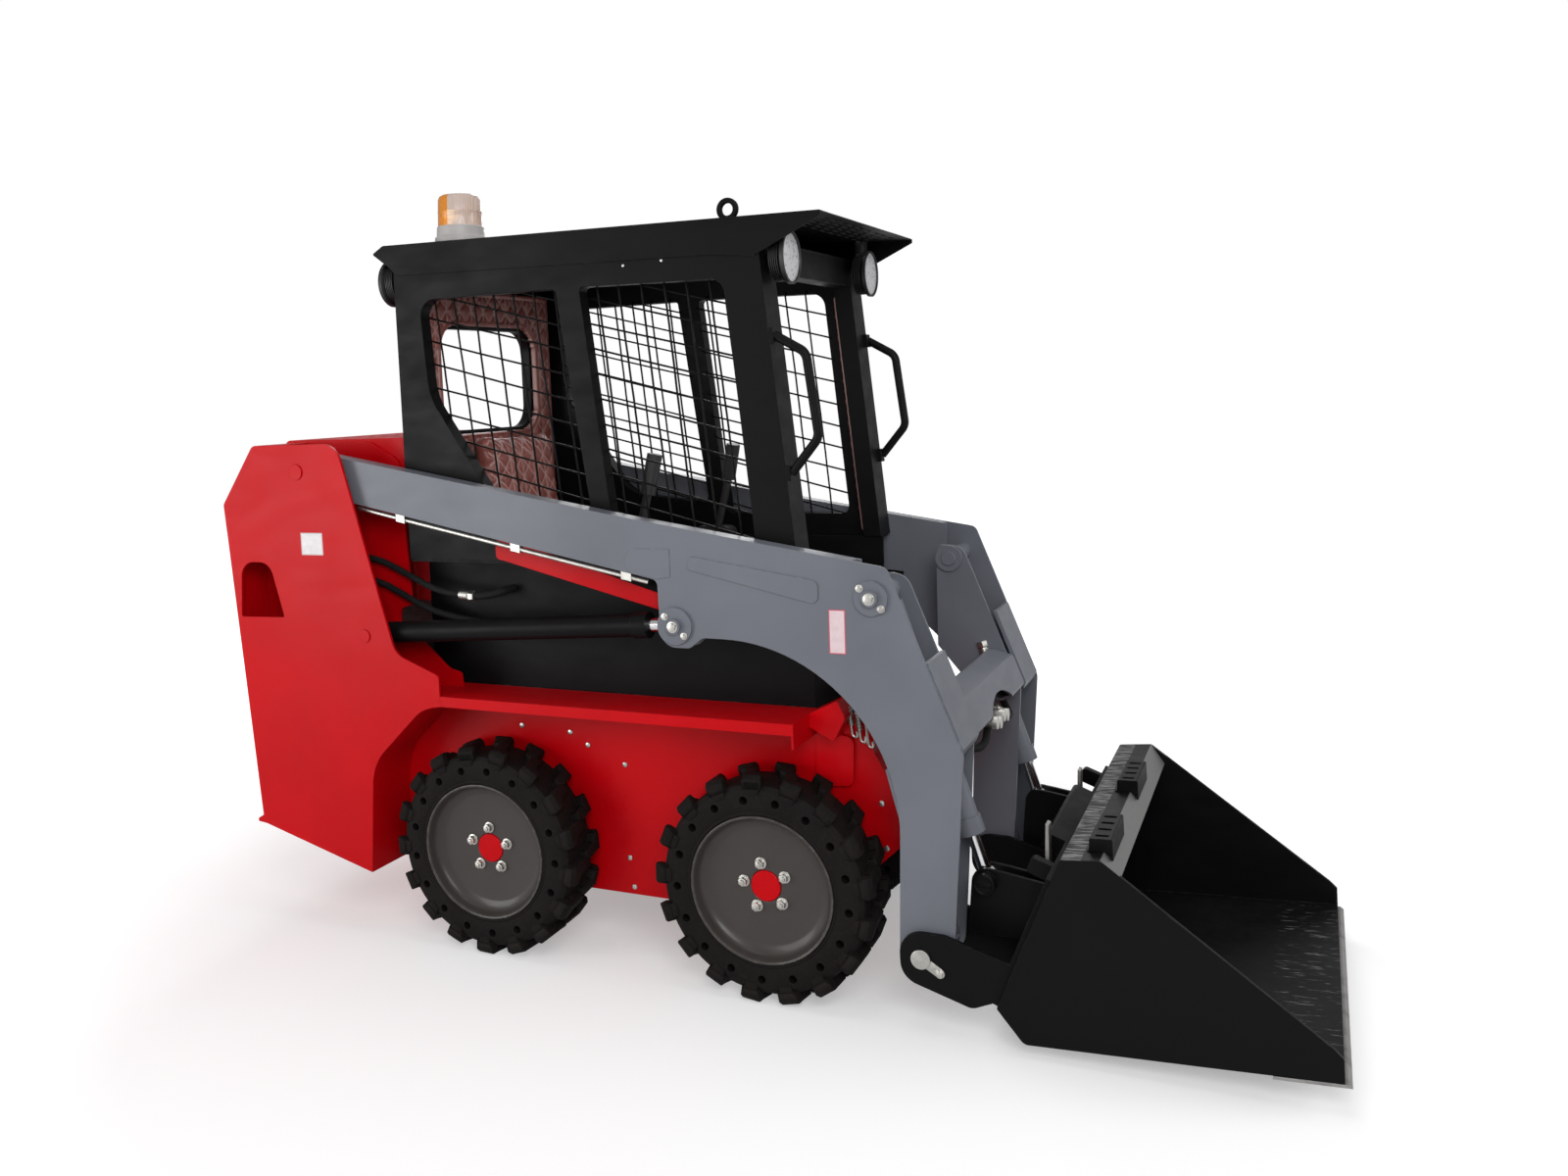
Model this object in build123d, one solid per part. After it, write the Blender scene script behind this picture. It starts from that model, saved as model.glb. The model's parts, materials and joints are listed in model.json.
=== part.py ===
"""Compact skid steer loader, in millimetres: +X forward, +Y left, +Z up.

Side views are drawn in (x, z), x counted from midway between the two axles, and given their place
across the machine by two y values. The files are written with their origin on the ground, on the
centre plane, under the middle of the machine's length.
"""
import os
from math import atan2, cos, degrees, hypot, pi, radians, sin, tan

from build123d import *

# ---------------------------------------------------------------- chassis
wheelbase = 797
middle_x = 217             # middle of the whole length, ahead of the middle of the wheelbase
tub_half = 300             # outer face of the tub's side walls
tub_bottom = 163
wall = 8                   # plate of the tub and the towers
tub_rear = -1140
running_gap = 0.08         # radial clearance of a shaft in its bore
seat_gap = 0.3             # clearance of a piece that is set down on another
joint_gap = 6              # clearance between plates that move past each other

# ---------------------------------------------------------------- wheels
tyre_radius = 286
tyre_width = 145
tyre_clearance = 16        # between the tub and the tyre
rim_radius = 184
lug_count = 17             # on each side of a tyre
lug_height = 24
stud_circle = 114.3
stud_count = 5
axle_radius = 30
wheel_outer = tub_half + tyre_clearance + tyre_width

# ---------------------------------------------------------------- ledges and towers
ledge_top = 705
ledge_half = wheel_outer + 9
ledge_plate = 5
ledge_lip = 28
ledge_rear, ledge_front = -500, 500
floor_top = 706
tower_outer = ledge_half
tower_inner = tub_half + 32        # inner face of the inner cheek
lift_hinge_x, lift_hinge_z = -943, 1308
lift_base_x, lift_base_z = -740, 858
tower_top = 1384

# ---------------------------------------------------------------- lift arms
arm_outer = tower_outer - 30
arm_inner = arm_outer - 50         # inner face of the slim rear beam
arm_front_inner = tub_half - 28    # inner face of the wide front leg
arm_plate = 8
beam_plate = 6
arm_pin_x, arm_pin_z = 191, 920       # rod pin of the lift cylinder
tilt_top_x, tilt_top_z = 686, 1004    # upper pin of the tilt cylinder
coupler_pin_x, coupler_pin_z = 790, 180
pin_radius = 19
boss_radius = 46

# ---------------------------------------------------------------- cylinders
lift_plane = (arm_inner + beam_plate + arm_outer - arm_plate) / 2     # |y| of the lift cylinders
lift_barrel_radius = 29
lift_rod_radius = 17
tilt_plane = arm_front_inner + 46     # |y| of the tilt cylinders
tilt_barrel_radius = 28
tilt_rod_radius = 15
tilt_rod_x, tilt_rod_z = 914, 336
eye_width = 30
eye_spacer = 23           # radius of the collars beside a cylinder's base eye
tube_start = 30           # a barrel's tube begins this far from its base pin

# ---------------------------------------------------------------- cab
cab_half = arm_inner - 12
roof_half = cab_half + 4
cab_wall = 40
cab_rear, cab_front = -640, 484
cab_base = 1060
roof_underside = 1812
pillar_face = 90
mesh_pitch, mesh_wire = 50, 4
wire_length = 4000          # longer than any window, cut to its outline

# ---------------------------------------------------------------- bucket
bucket_half = tower_outer + 16
bucket_cheek = 10
bucket_plate = 8

SIDES = {"right": -1, "left": 1}

nodes = {}


# ---------------------------------------------------------------- drawing helpers
def outline(rows):
    """Closed face in (x, y) from rows of (x, y, corner radius)."""
    edges, count = [], len(rows)
    starts, ends, mids = [], [], []
    for i, row in enumerate(rows):
        x, y = row[0], row[1]
        radius = row[2] if len(row) > 2 else 0
        px, py = rows[i - 1][0] - x, rows[i - 1][1] - y
        nx, ny = rows[(i + 1) % count][0] - x, rows[(i + 1) % count][1] - y
        lp, ln = hypot(px, py), hypot(nx, ny)
        ux, uy, vx, vy = px / lp, py / lp, nx / ln, ny / ln
        cosine = max(-1.0, min(1.0, ux * vx + uy * vy))
        half = atan2(abs(ux * vy - uy * vx), cosine) / 2
        if radius <= 0 or half <= 1e-6:
            starts.append((x, y))
            ends.append((x, y))
            mids.append(None)
            continue
        back = radius / tan(half)
        bx, by = ux + vx, uy + vy
        lb = hypot(bx, by)
        reach = radius / sin(half)
        starts.append((x + ux * back, y + uy * back))
        ends.append((x + vx * back, y + vy * back))
        mids.append((x + bx / lb * (reach - radius), y + by / lb * (reach - radius)))
    for i in range(count):
        if mids[i] is not None:
            edges.append(ThreePointArc(starts[i], mids[i], ends[i]))
        after = (i + 1) % count
        if hypot(ends[i][0] - starts[after][0], ends[i][1] - starts[after][1]) > 1e-6:
            edges.append(Line(ends[i], starts[after]))
    return make_face(edges)


def side_plate(rows, y_low, y_high):
    """Side-view outline (x, z, radius), as thick as the two y values say."""
    return Pos(0, y_high, 0) * (Plane.XZ * extrude(outline(rows), y_high - y_low))


def mirrored(side, near, far):
    """Two distances from the centre plane as (low y, high y) on one side."""
    return (near, far) if side > 0 else (-far, -near)


def box(x, y, z):
    """Box from three (low, high) pairs."""
    return Pos((x[0] + x[1]) / 2, (y[0] + y[1]) / 2, (z[0] + z[1]) / 2) * Box(
        x[1] - x[0], y[1] - y[0], z[1] - z[0])


def cross_rod(x, z, radius, y_low, y_high):
    """Round bar along Y."""
    return Pos(x, (y_low + y_high) / 2, z) * Rot(90, 0, 0) * Cylinder(radius, y_high - y_low)


def rod_between(start, end, radius):
    """Round bar from one point to another."""
    line = Vector(*end) - Vector(*start)
    return Plane(origin=start, z_dir=line) * Cylinder(
        radius, line.length, align=(Align.CENTER, Align.CENTER, Align.MIN))


def bent_bar(points, radius, bend):
    """Round bar along straight runs joined by bends of one radius."""
    path = FilletPolyline(*points, radius=bend)
    start = Vector(*points[0])
    profile = Plane(origin=start, z_dir=Vector(*points[1]) - start) * Circle(radius)
    return sweep(profile, path=path)


def strip_along(path, thick):
    """Face of a folded plate: a path of (x, z) corners thickened to its left."""
    shifted = []
    for i, (x, z) in enumerate(path):
        normals = []
        for a, b in ((i - 1, i), (i, i + 1)):
            if a >= 0 and b < len(path):
                dx, dz = path[b][0] - path[a][0], path[b][1] - path[a][1]
                run = hypot(dx, dz)
                normals.append((-dz / run, dx / run))
        mx = sum(n[0] for n in normals) / len(normals)
        mz = sum(n[1] for n in normals) / len(normals)
        scale = thick / (mx * mx + mz * mz)
        shifted.append((x + mx * scale, z + mz * scale))
    return path + shifted[::-1]


def joined(*solids):
    """One shape from solids that touch."""
    result = solids[0]
    for solid in solids[1:]:
        result = result + solid
    return result


def together(solids):
    """Separate solids that share a node."""
    return Compound([part for solid in solids for part in solid.solids()])


# ---------------------------------------------------------------- chassis tub
axles_x = (-wheelbase / 2, wheelbase / 2)
nose_rows = [(480, tub_bottom, 60), (716, 392, 25), (712, 482, 30), (640, 608, 25)]
tub_rows = [(tub_rear, 293, 0), (-763, tub_bottom + 20, 60), (-560, tub_bottom, 60)] + nose_rows + [
    (640, ledge_top - ledge_plate, 0), (tub_rear, ledge_top - ledge_plate, 0)]
tub_outer = side_plate(tub_rows, -tub_half, tub_half)
tub_core_rows = [(-1200, 310 + wall, 0), (-763, tub_bottom + 20 + wall, 52), (-560, tub_bottom + wall, 52),
                 (480 - wall / 2, tub_bottom + wall, 52), (716 - wall, 392, 20), (712 - wall, 482, 24),
                 (640 - wall, 608, 20), (640 - wall, 900, 0), (-1200, 900, 0)]
tub = tub_outer - side_plate(tub_core_rows, -tub_half + wall, tub_half - wall)
housing_radius = 58
for axle_x in axles_x:
    tub -= cross_rod(axle_x, tyre_radius, axle_radius + 12, -tub_half - 1, tub_half + 1)
nodes["chassis_tub"] = tub

# Axle housings bolted to the tub, each bored for its stub axle.
housing_outer = wheel_outer - 73
housings = []
for axle_x in axles_x:
    for side in SIDES.values():
        housing = cross_rod(axle_x, tyre_radius, housing_radius, *mirrored(side, tub_half, housing_outer))
        flange = cross_rod(axle_x, tyre_radius, 84, *mirrored(side, tub_half, tub_half + 14))
        inner = cross_rod(axle_x, tyre_radius, axle_radius + 11, *mirrored(side, tub_half - 60, tub_half))
        bore = cross_rod(axle_x, tyre_radius, axle_radius + running_gap,
                         *mirrored(side, tub_half - 61, housing_outer + 1))
        housings.append(joined(housing, flange, inner) - bore)
nodes["axle_housings"] = together(housings)

# Engine and pump as one heavy block on two rails welded into the tub.
engine_low, engine_high = 330, 840
nodes["engine_block"] = joined(
    box((-1090, -690), (-210, 210), (engine_low, engine_high)),
    box((-1060, -720), (-tub_half + wall, -200), (engine_low, engine_low + 30)),
    box((-1060, -720), (200, tub_half - wall), (engine_low, engine_low + 30)))

# ---------------------------------------------------------------- fenders
for name, side in SIDES.items():
    top = box((ledge_rear, ledge_front), mirrored(side, tub_half, ledge_half),
              (ledge_top - ledge_plate, ledge_top))
    flange = box((ledge_rear, ledge_front), mirrored(side, tub_half, tub_half + ledge_plate),
                 (ledge_top - 45, ledge_top))
    lip = box((ledge_rear, ledge_front), mirrored(side, ledge_half - ledge_plate, ledge_half),
              (ledge_top - ledge_lip, ledge_top))
    end_plate = box((ledge_front - ledge_plate, ledge_front), mirrored(side, tub_half, ledge_half),
                    (ledge_top - ledge_lip - 32, ledge_top))
    nodes[f"fender_{name}"] = joined(top, flange, lip, end_plate)

# Raised plate and padded stop in front of each ledge, where the lowered arm rests.
stops = []
for side in SIDES.values():
    riser = side_plate([(ledge_front, ledge_top, 0), (ledge_front, 672, 0), (560, 640, 10), (590, 700, 10),
                        (572, 742, 8)],
                       *mirrored(side, tub_half, tub_half + 60))
    pad = side_plate([(500, 655, 22), (494, 512, 22), (590, 520, 22), (594, 640, 22)],
                     *mirrored(side, tub_half, tub_half + 10))
    stops.append(joined(riser, pad))
nodes["arm_stops"] = together(stops)

# ---------------------------------------------------------------- towers
cheek_rows = [(-1152, 312, 0), (-1219, 1218, 15), (-1096, tower_top, 25), (-800, tower_top, 60),
              (-640, 813, 60), (-502, 761, 12), (-500, 677, 0), (-560, 668, 120), (-738, 500, 150),
              (-765, 188, 0), (-1142, 288, 0), (-1172, 291, 0), (-1172, 300, 0)]
band_path_rows = cheek_rows[:-2] + [(-1150, 292, 0)]
inner_rows = [(-1186, 700, 0), (-1219, 1218, 15), (-1096, tower_top, 25), (-790, tower_top, 40),
              (-690, 1330, 40), (-672, 925, 6), (-716, 915, 25), (-716, 812, 50), (-640, 822, 25),
              (-560, 752, 30), (-520, 742, 12), (-516, 700, 0)]
arch_hole = [(-1180, 895, 6), (-1166, 1054, 46), (-1062, 1054, 46), (-1020, 899, 6)]
hinge_pin_radius = 22
band_thick = 6
for name, side in SIDES.items():
    cheek = side_plate(cheek_rows, *mirrored(side, tower_outer - wall, tower_outer))
    cheek -= side_plate(arch_hole, *mirrored(side, tower_outer - wall - 1, tower_outer + 1))
    inner_cheek = side_plate(inner_rows, *mirrored(side, tower_inner, tower_inner + wall))
    hollow = Pos(0, tower_outer, 0) * (
        Plane.XZ * extrude(offset(outline(band_path_rows), amount=-band_thick), 2 * tower_outer))
    band = side_plate(band_path_rows, *mirrored(side, tub_half, tower_outer - wall)) - hollow
    band -= box((-1010, -300), (-tower_outer, tower_outer), (ledge_top, 1500))
    band -= box((-1300, -900), (-tower_inner, tower_inner), (1226, 1500))       # room for the hood
    shelf = box((-1180, ledge_rear), mirrored(side, tub_half, tower_outer - wall),
                (ledge_top - ledge_plate, ledge_top))
    pins = [cross_rod(lift_hinge_x, lift_hinge_z, hinge_pin_radius, *mirrored(side, tower_inner, tower_outer + 4)),
            cross_rod(lift_hinge_x, lift_hinge_z, 42, *mirrored(side, tower_outer - wall - 8, tower_outer - wall)),
            cross_rod(lift_base_x, lift_base_z, pin_radius, *mirrored(side, tower_inner, tower_outer + 4)),
            cross_rod(lift_base_x, lift_base_z, eye_spacer, *mirrored(side, lift_plane + eye_width / 2 + seat_gap,
                                                              tower_outer - wall)),
            cross_rod(lift_base_x, lift_base_z, eye_spacer, *mirrored(side, tower_inner,
                                                              lift_plane - eye_width / 2 - seat_gap))]
    nodes[f"tower_{name}"] = joined(cheek, band, shelf, inner_cheek, *pins)

# Rear cross panel under the door, with the bumper, and the beam behind the cab.
bumper = box((tub_rear - 8, tub_rear), (-tub_half, tub_half), (293, 345))
bumper += box((-1190, tub_rear - 8), (-tub_half + 20, tub_half - 20), (300, 334))
beam = box((-780, -740), (-tower_inner, tower_inner), (1180, 1240))
nodes["rear_frame"] = together([bumper, beam])

# ---------------------------------------------------------------- hood and rear door
hood_rows = [(-1208, 1233, 0), (-1090, 1392, 20), (-660, 1392, 10), (-660, 1250, 0), (-740, 1245, 0),
             (-1100, 1225, 0)]
hood = side_plate(hood_rows, -tower_inner + seat_gap, tower_inner - seat_gap)
hood -= side_plate([(-1260, 1180, 0), (-1092, 1384, 14), (-668, 1384, 4), (-668, 1180, 0)],
                   -tower_inner + 8, tower_inner - 8)
for row in range(4):
    for column in range(9):
        hood -= box((-1040 + row * 92, -980 + row * 92), (-268 + column * 60, -244 + column * 60), (1370, 1400))
nodes["engine_hood"] = hood

door_rise = atan2(1218 - 312, 1219 - 1152)
door_axis = Vector(cos(door_rise) * -1, 0, sin(door_rise))
door_foot = Vector(-1152, 0, 312) + door_axis * 40
door_height, door_half, door_depth, door_skin = 850, 288, 26, 3
door_plane = Plane(origin=door_foot, x_dir=(0, -1, 0), z_dir=door_axis.cross(Vector(0, 1, 0)))
door = extrude(door_plane * Pos(0, door_height / 2) * RectangleRounded(2 * door_half, door_height, 30),
               -door_depth)
door -= extrude((door_plane * Pos(0, door_height / 2, -door_skin)) * RectangleRounded(
    2 * door_half - 40, door_height - 40, 20), -door_depth)
for row in range(11):
    slot = extrude(Pos(0, 330 + row * 36, 1) * SlotOverall(400, 16), -door_skin - 2)
    door -= door_plane * slot
knuckle_heights = (130, 700)
knuckle_out, knuckle_across = 11, tub_half - 4
for height in knuckle_heights:
    knuckle = Pos(-knuckle_across, height, knuckle_out) * Rot(90, 0, 0) * Cylinder(9, 60)
    leaf = Pos(25 - door_half, height, 2) * Box(60, 56, 4)
    web = Pos(6 - knuckle_across, height, 5) * Box(10, 56, 8)
    bore = Pos(-knuckle_across, height, knuckle_out) * Rot(90, 0, 0) * Cylinder(5 + running_gap, 70)
    door += door_plane * (joined(knuckle, leaf, web) - bore)
latch = Pos(door_half - 55, 420, 0) * extrude(RectangleRounded(60, 110, 12), 7)
grip = Pos(door_half - 55, 420, 7) * extrude(RectangleRounded(26, 84, 10), 9)
nodes["rear_door"] = door + door_plane * joined(latch, grip)

# Pins and brackets of the door's hinges, on the left tower's rear face.
for height in knuckle_heights:
    pin = Pos(-knuckle_across, height, knuckle_out) * Rot(90, 0, 0) * Cylinder(5, 92)
    brackets = [Pos(-knuckle_across - 16, height + offset_up, 10.5) * Box(44, 10, 21) for offset_up in (-37, 37)]
    nodes["tower_left"] += door_plane * joined(pin, *brackets)

# ---------------------------------------------------------------- wheel pieces
half = tyre_width / 2
groove_radius = tyre_radius - lug_height
tread_sides = 2 * lug_count
shoulder = half - 3.5      # flat of the sidewall, just inside the lugs' outer faces
disc_front, disc_plate = 32, 8
centre_hole = 39.5


def turned(rows):
    """Solid turned about Y from rows of (radius, y, corner radius)."""
    return revolve(outline(rows), axis=Axis.Y)


def many_sided(y, radius):
    """Regular outline round the wheel's axis, one side for every half pitch of the lugs."""
    return Plane(origin=(0, y, 0), z_dir=(0, 1, 0), x_dir=(1, 0, 0)) * RegularPolygon(radius, tread_sides)


def lugged_tyre():
    """Solid-rubber tyre: ruled rings, with a slanted block for each lug from either shoulder."""
    rings = [(-shoulder + 7, rim_radius + 6), (-shoulder, rim_radius + 22), (-shoulder, groove_radius - 22),
             (-shoulder + 11, groove_radius), (shoulder - 11, groove_radius), (shoulder, groove_radius - 22),
             (shoulder, rim_radius + 22), (shoulder - 7, rim_radius + 6)]
    body = loft([many_sided(y, radius) for y, radius in rings], ruled=True)
    body -= loft([many_sided(y, (rim_radius + seat_gap) / cos(pi / tread_sides)) for y in (-half, half)],
                 ruled=True)
    lug_top = tyre_radius - 1.5
    plan = [(-30, half), (20, half), (22, half - 26), (30, 6), (6, -6), (-30, half - 30)]
    section = [(-8, groove_radius - 12), (-8, lug_top), (half - 12, lug_top), (half, lug_top - 20),
               (half, groove_radius - 26), (shoulder - 2, groove_radius - 26), (shoulder - 14, groove_radius - 12)]
    block = extrude(Pos(0, 0, groove_radius - 30) * make_face(Polyline(*plan, close=True)), lug_height + 30)
    block &= Pos(-40, 0, 0) * extrude(Plane.YZ * make_face(Polyline(*section, close=True)), 80)
    lugs = []
    for i in range(lug_count):
        turn = 360 / lug_count * i
        lugs.append(Rot(0, turn, 0) * block)
        lugs.append(Rot(0, turn + 180 / lug_count, 0) * Rot(0, 0, 180) * block)
    return body.fuse(*lugs)


rim_rows = [(rim_radius, half - 3, 0), (rim_radius - 9, half - 3, 0), (rim_radius - 15, half - 24, 0),
            (rim_radius - 30, half - 34, 0), (rim_radius - 38, disc_front, 0), (centre_hole, disc_front, 0),
            (centre_hole, disc_front - disc_plate, 0), (rim_radius - 34, disc_front - disc_plate, 0),
            (rim_radius - 10, disc_front - 14, 0), (rim_radius - 9, -half + 3, 0), (rim_radius, -half + 3, 0)]
tyre = lugged_tyre()
rim = turned(rim_rows)
stud_turns = [2 * pi * i / stud_count + pi / 2 for i in range(stud_count)]
for turn in stud_turns:
    rim -= cross_rod(stud_circle / 2 * cos(turn), stud_circle / 2 * sin(turn), 7.5, 0, half)
wheel_plane = wheel_outer - half
hub_pieces = [cross_rod(0, 0, axle_radius, tub_half - 56 - wheel_plane, disc_front - disc_plate),
              cross_rod(0, 0, 78, housing_outer - wheel_plane + 1, disc_front - disc_plate),
              cross_rod(0, 0, centre_hole - 0.5, disc_front - disc_plate, disc_front + 3)]
for turn in stud_turns:
    centre = Pos(stud_circle / 2 * cos(turn), 0, stud_circle / 2 * sin(turn))
    hub_pieces.append(centre * cross_rod(0, 0, 7, disc_front - disc_plate, disc_front + 20))
    hub_pieces.append(centre * Pos(0, disc_front + 13, 0) * Rot(90, 0, 0) * extrude(RegularPolygon(11, 6), 13))
hub = joined(*hub_pieces)
for x, where in zip(axles_x, ("rear", "front")):
    for name, side in SIDES.items():
        place = Pos(x, side * wheel_plane, tyre_radius) * Rot(0, 0, 0 if side > 0 else 180)
        nodes[f"tyre_{where}_{name}"] = place * tyre
        nodes[f"rim_{where}_{name}"] = place * rim
        nodes[f"hub_{where}_{name}"] = place * hub

# ---------------------------------------------------------------- black side covers and floor
cover_rows = [(cab_rear + 4, floor_top, 0), (494, floor_top, 0), (494, cab_base, 0), (cab_rear + 4, cab_base, 0)]
covers = []
for side in SIDES.values():
    cover = side_plate(cover_rows, *mirrored(side, tub_half - 6, tub_half))
    knee = Pos(0, 0, floor_top) * extrude(
        make_face(Polyline((494, side * tub_half), (560, side * (tub_half - 34)), (560, side * (tub_half - 40)),
                           (494, side * (tub_half - 6)), close=True)), 260)
    shoulder = box((cab_rear + 4, cab_front), mirrored(side, tub_half - 6, cab_half), (cab_base - 6, cab_base))
    covers.append(joined(cover, knee, shoulder))
nodes["side_covers"] = together(covers)

seat_box = side_plate([(-560, 700, 0), (-90, 700, 0), (-60, 960, 20), (-560, 960, 20)], -230, 230)
seat_box -= side_plate([(-552, 690, 0), (-98, 690, 0), (-70, 952, 14), (-552, 952, 14)], -222, 222)
floor = box((cab_rear, 632), (-tub_half, tub_half), (ledge_top - ledge_plate, floor_top))
nodes["cab_floor"] = joined(floor, seat_box - box((-700, 0), (-300, 300), (600, 706)))

# ---------------------------------------------------------------- cab
side_rows = [(cab_rear, cab_base, 0), (cab_rear, roof_underside + 18, 0), (412, roof_underside + 18, 0),
             (490, cab_base, 0)]
rear_window = [(-562, 1757, 45), (-140, 1757, 12), (-58, 1150, 20), (-330, 1180, 120), (-545, 1500, 160)]
front_window = [(-72, 1757, 12), (322, 1750, 40), (384, 1120, 20), (0, 1120, 20)]


def mesh_guard(rows):
    """Face of a welded wire grid in a window's outline, with its flat frame."""
    pane = outline(rows)
    frame_box = pane.bounding_box()
    net = offset(pane, amount=12) - pane
    x = frame_box.min.X + mesh_pitch / 2
    while x < frame_box.max.X:
        net += Pos(x, 0) * Rectangle(mesh_wire, wire_length) & offset(pane, amount=6)
        x += mesh_pitch
    z = frame_box.min.Y + mesh_pitch / 2
    while z < frame_box.max.Y:
        net += Pos(0, z) * Rectangle(wire_length, mesh_wire) & offset(pane, amount=6)
        z += mesh_pitch
    return net


for name, side in SIDES.items():
    wall_solid = side_plate(side_rows, *mirrored(side, cab_half - cab_wall, cab_half))
    for rows in (rear_window, front_window):
        wall_solid -= side_plate(rows, *mirrored(side, cab_half - cab_wall - 1, cab_half + 1))
    nodes[f"cab_side_{name}"] = wall_solid

guards = []
for side in SIDES.values():
    for rows in (rear_window, front_window):
        y_low, y_high = mirrored(side, cab_half - cab_wall - mesh_wire, cab_half - cab_wall)
        guards.append(Pos(0, y_high, 0) * (Plane.XZ * extrude(mesh_guard(rows), y_high - y_low)))
nodes["window_guards"] = together(guards)

inner_half = cab_half - cab_wall
front_pieces = []
for side in SIDES.values():
    front_pieces.append(side_plate(
        [(362, roof_underside + 18, 0), (412, roof_underside + 18, 0), (490, cab_base, 0), (440, cab_base, 0)],
        *mirrored(side, cab_half - pillar_face, inner_half)))
header = side_plate([(366, 1760, 0), (419, 1760, 0), (412, roof_underside + 18, 0), (360, roof_underside + 18, 0)],
                    -cab_half + pillar_face, cab_half - pillar_face)
nodes["cab_front_frame"] = joined(header, *front_pieces)

rear_pane = [(-238, 1402, 70), (238, 1402, 70), (238, 1690, 70), (-238, 1690, 70)]
rear_wall = box((cab_rear, cab_rear + 30), (-inner_half, inner_half), (cab_base, roof_underside + 18))
rear_wall += box((cab_rear, cab_rear + 30), (6 - tub_half, tub_half - 6), (floor_top, cab_base))
rear_hole = Plane.YZ * Pos(0, 0, cab_rear - 5) * extrude(outline(rear_pane), 60)
rear_wall -= rear_hole
nodes["cab_rear_wall"] = rear_wall

liner = box((cab_rear + 30.3, cab_rear + 52), (-inner_half + 6, inner_half - 6), (1070, 1800))
liner -= Plane.YZ * Pos(0, 0, cab_rear + 20) * extrude(
    outline([(-252, 1388, 80), (252, 1388, 80), (252, 1704, 80), (-252, 1704, 80)]), 60)
nodes["cab_liner"] = liner

roof_rows = [(-704, 1888, 4), (-668, 1908, 10), (571, 1886, 4), (571, 1874, 3), (404, 1796, 12),
             (285, 1807, 60), (-628, 1826, 4), (-652, 1850, 4)]
roof = side_plate(roof_rows, -roof_half, roof_half)
roof -= side_plate([(-720, 1830, 0), (-720, 1878, 0), (-664, 1902, 8), (700, 1879.7, 0), (700, 1700, 0),
                    (-720, 1700, 0)], -cab_half, cab_half)
ceiling = box((cab_rear, 412), (-cab_half, cab_half), (roof_underside + 18, roof_underside + 24))
back_fold = box((cab_rear, cab_rear + 4), (-cab_half, cab_half), (roof_underside + 24, 1903))
roof = joined(roof, ceiling, back_fold)
for row in range(5):
    for column in range(10):
        y_mid = -324 + column * 66 + (row % 2) * 33
        if abs(y_mid) < 350:
            roof -= box((438 + row * 24, 448 + row * 24), (y_mid - 24, y_mid + 24), (1860, 1910))
nodes["cab_roof"] = roof

def pillar_x(z):
    """Front face of the sloping pillars at a height."""
    return 412 + (roof_underside + 18 - z) * (490 - 412) / (roof_underside + 18 - cab_base)


handles = []
for side in SIDES.values():
    y = side * 364
    tube = bent_bar([(pillar_x(1610) + 9, y, 1610), (520, y, 1566), (546, y, 1368),
                     (pillar_x(1285) + 10, y, 1285)], 11, 34)
    pads = [side_plate([(pillar_x(z - 18), z - 18, 0), (pillar_x(z - 18) + 10, z - 18, 0),
                        (pillar_x(z + 18) + 10, z + 18, 0), (pillar_x(z + 18), z + 18, 0)],
                       *mirrored(side, 350, cab_half)) for z in (1610, 1285)]
    handles.append(joined(tube, *pads))
nodes["grab_handles"] = together(handles)

lamp_radius = 63
lamps = []
for side in SIDES.values():
    body = Pos(450, side * 312, 1792) * Rot(0, 90, 0) * Cylinder(lamp_radius, 48)
    foot = box((434, 460), (side * 312 - 20, side * 312 + 20), (1840, 1883.2))
    lamps.append(joined(body, foot))
nodes["work_lights"] = together(lamps)
rear_lamps = []
for side in SIDES.values():
    body = Pos(-670, side * 318, 1812) * Rot(0, 90, 0) * Cylinder(lamp_radius, 44)
    foot = box((-648, cab_rear), (side * 318 - 20, side * 318 + 20), (1790, 1830))
    rear_lamps.append(joined(body, foot))
nodes["rear_lamps"] = together(rear_lamps)

roof_fall = atan2(1908 - 1886, 571 + 668)


def on_roof(x, y):
    """Place on the roof's sloping top."""
    return Pos(x, y, 1908 - (x + 668) * tan(roof_fall)) * Rot(0, degrees(roof_fall), 0)


nodes["beacon"] = on_roof(-470, -300) * joined(
    Pos(0, 0, 8.5) * Cylinder(70, 17), Pos(0, 0, 30) * Cylinder(64, 26), Pos(0, 0, 84) * Cylinder(60, 84))
eye_ring = Rot(90, 0, 0) * (Cylinder(28, 13) - Cylinder(15, 14))
eye_ring = chamfer(eye_ring.edges().filter_by(GeomType.CIRCLE), 2.5)
eye_shank = Pos(0, 0, 5) * Cylinder(18, 10) - Pos(0, 0, 34) * Rot(90, 0, 0) * Cylinder(20, 60)
nodes["lifting_eye"] = on_roof(290, -262) * joined(eye_shank, Pos(0, 0, 34) * eye_ring)

# ---------------------------------------------------------------- seat and controls
nodes["seat_cushion"] = fillet(box((-500, -80), (-215, 215), (960.3, 1050)).edges().filter_by(Axis.Z), 50)
seat_back = side_plate([(-560, 1050.3, 20), (-470, 1050.3, 20), (-506, 1400, 25), (-584, 1400, 25)], -200, 200)
nodes["seat_back"] = seat_back
consoles = []
for side in SIDES.values():
    tower = side_plate([(-60, floor_top, 0), (60, floor_top, 0), (50, 1090, 25), (-70, 1090, 25)],
                       *mirrored(side, 236, 292))
    lever = rod_between((0, side * 262, 1080), (40, side * 262, 1230), 11)
    grip = rod_between((40, side * 262, 1228), (62, side * 256, 1330), 20)
    consoles.append(joined(tower, lever, grip))
nodes["control_consoles"] = together(consoles)

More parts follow.
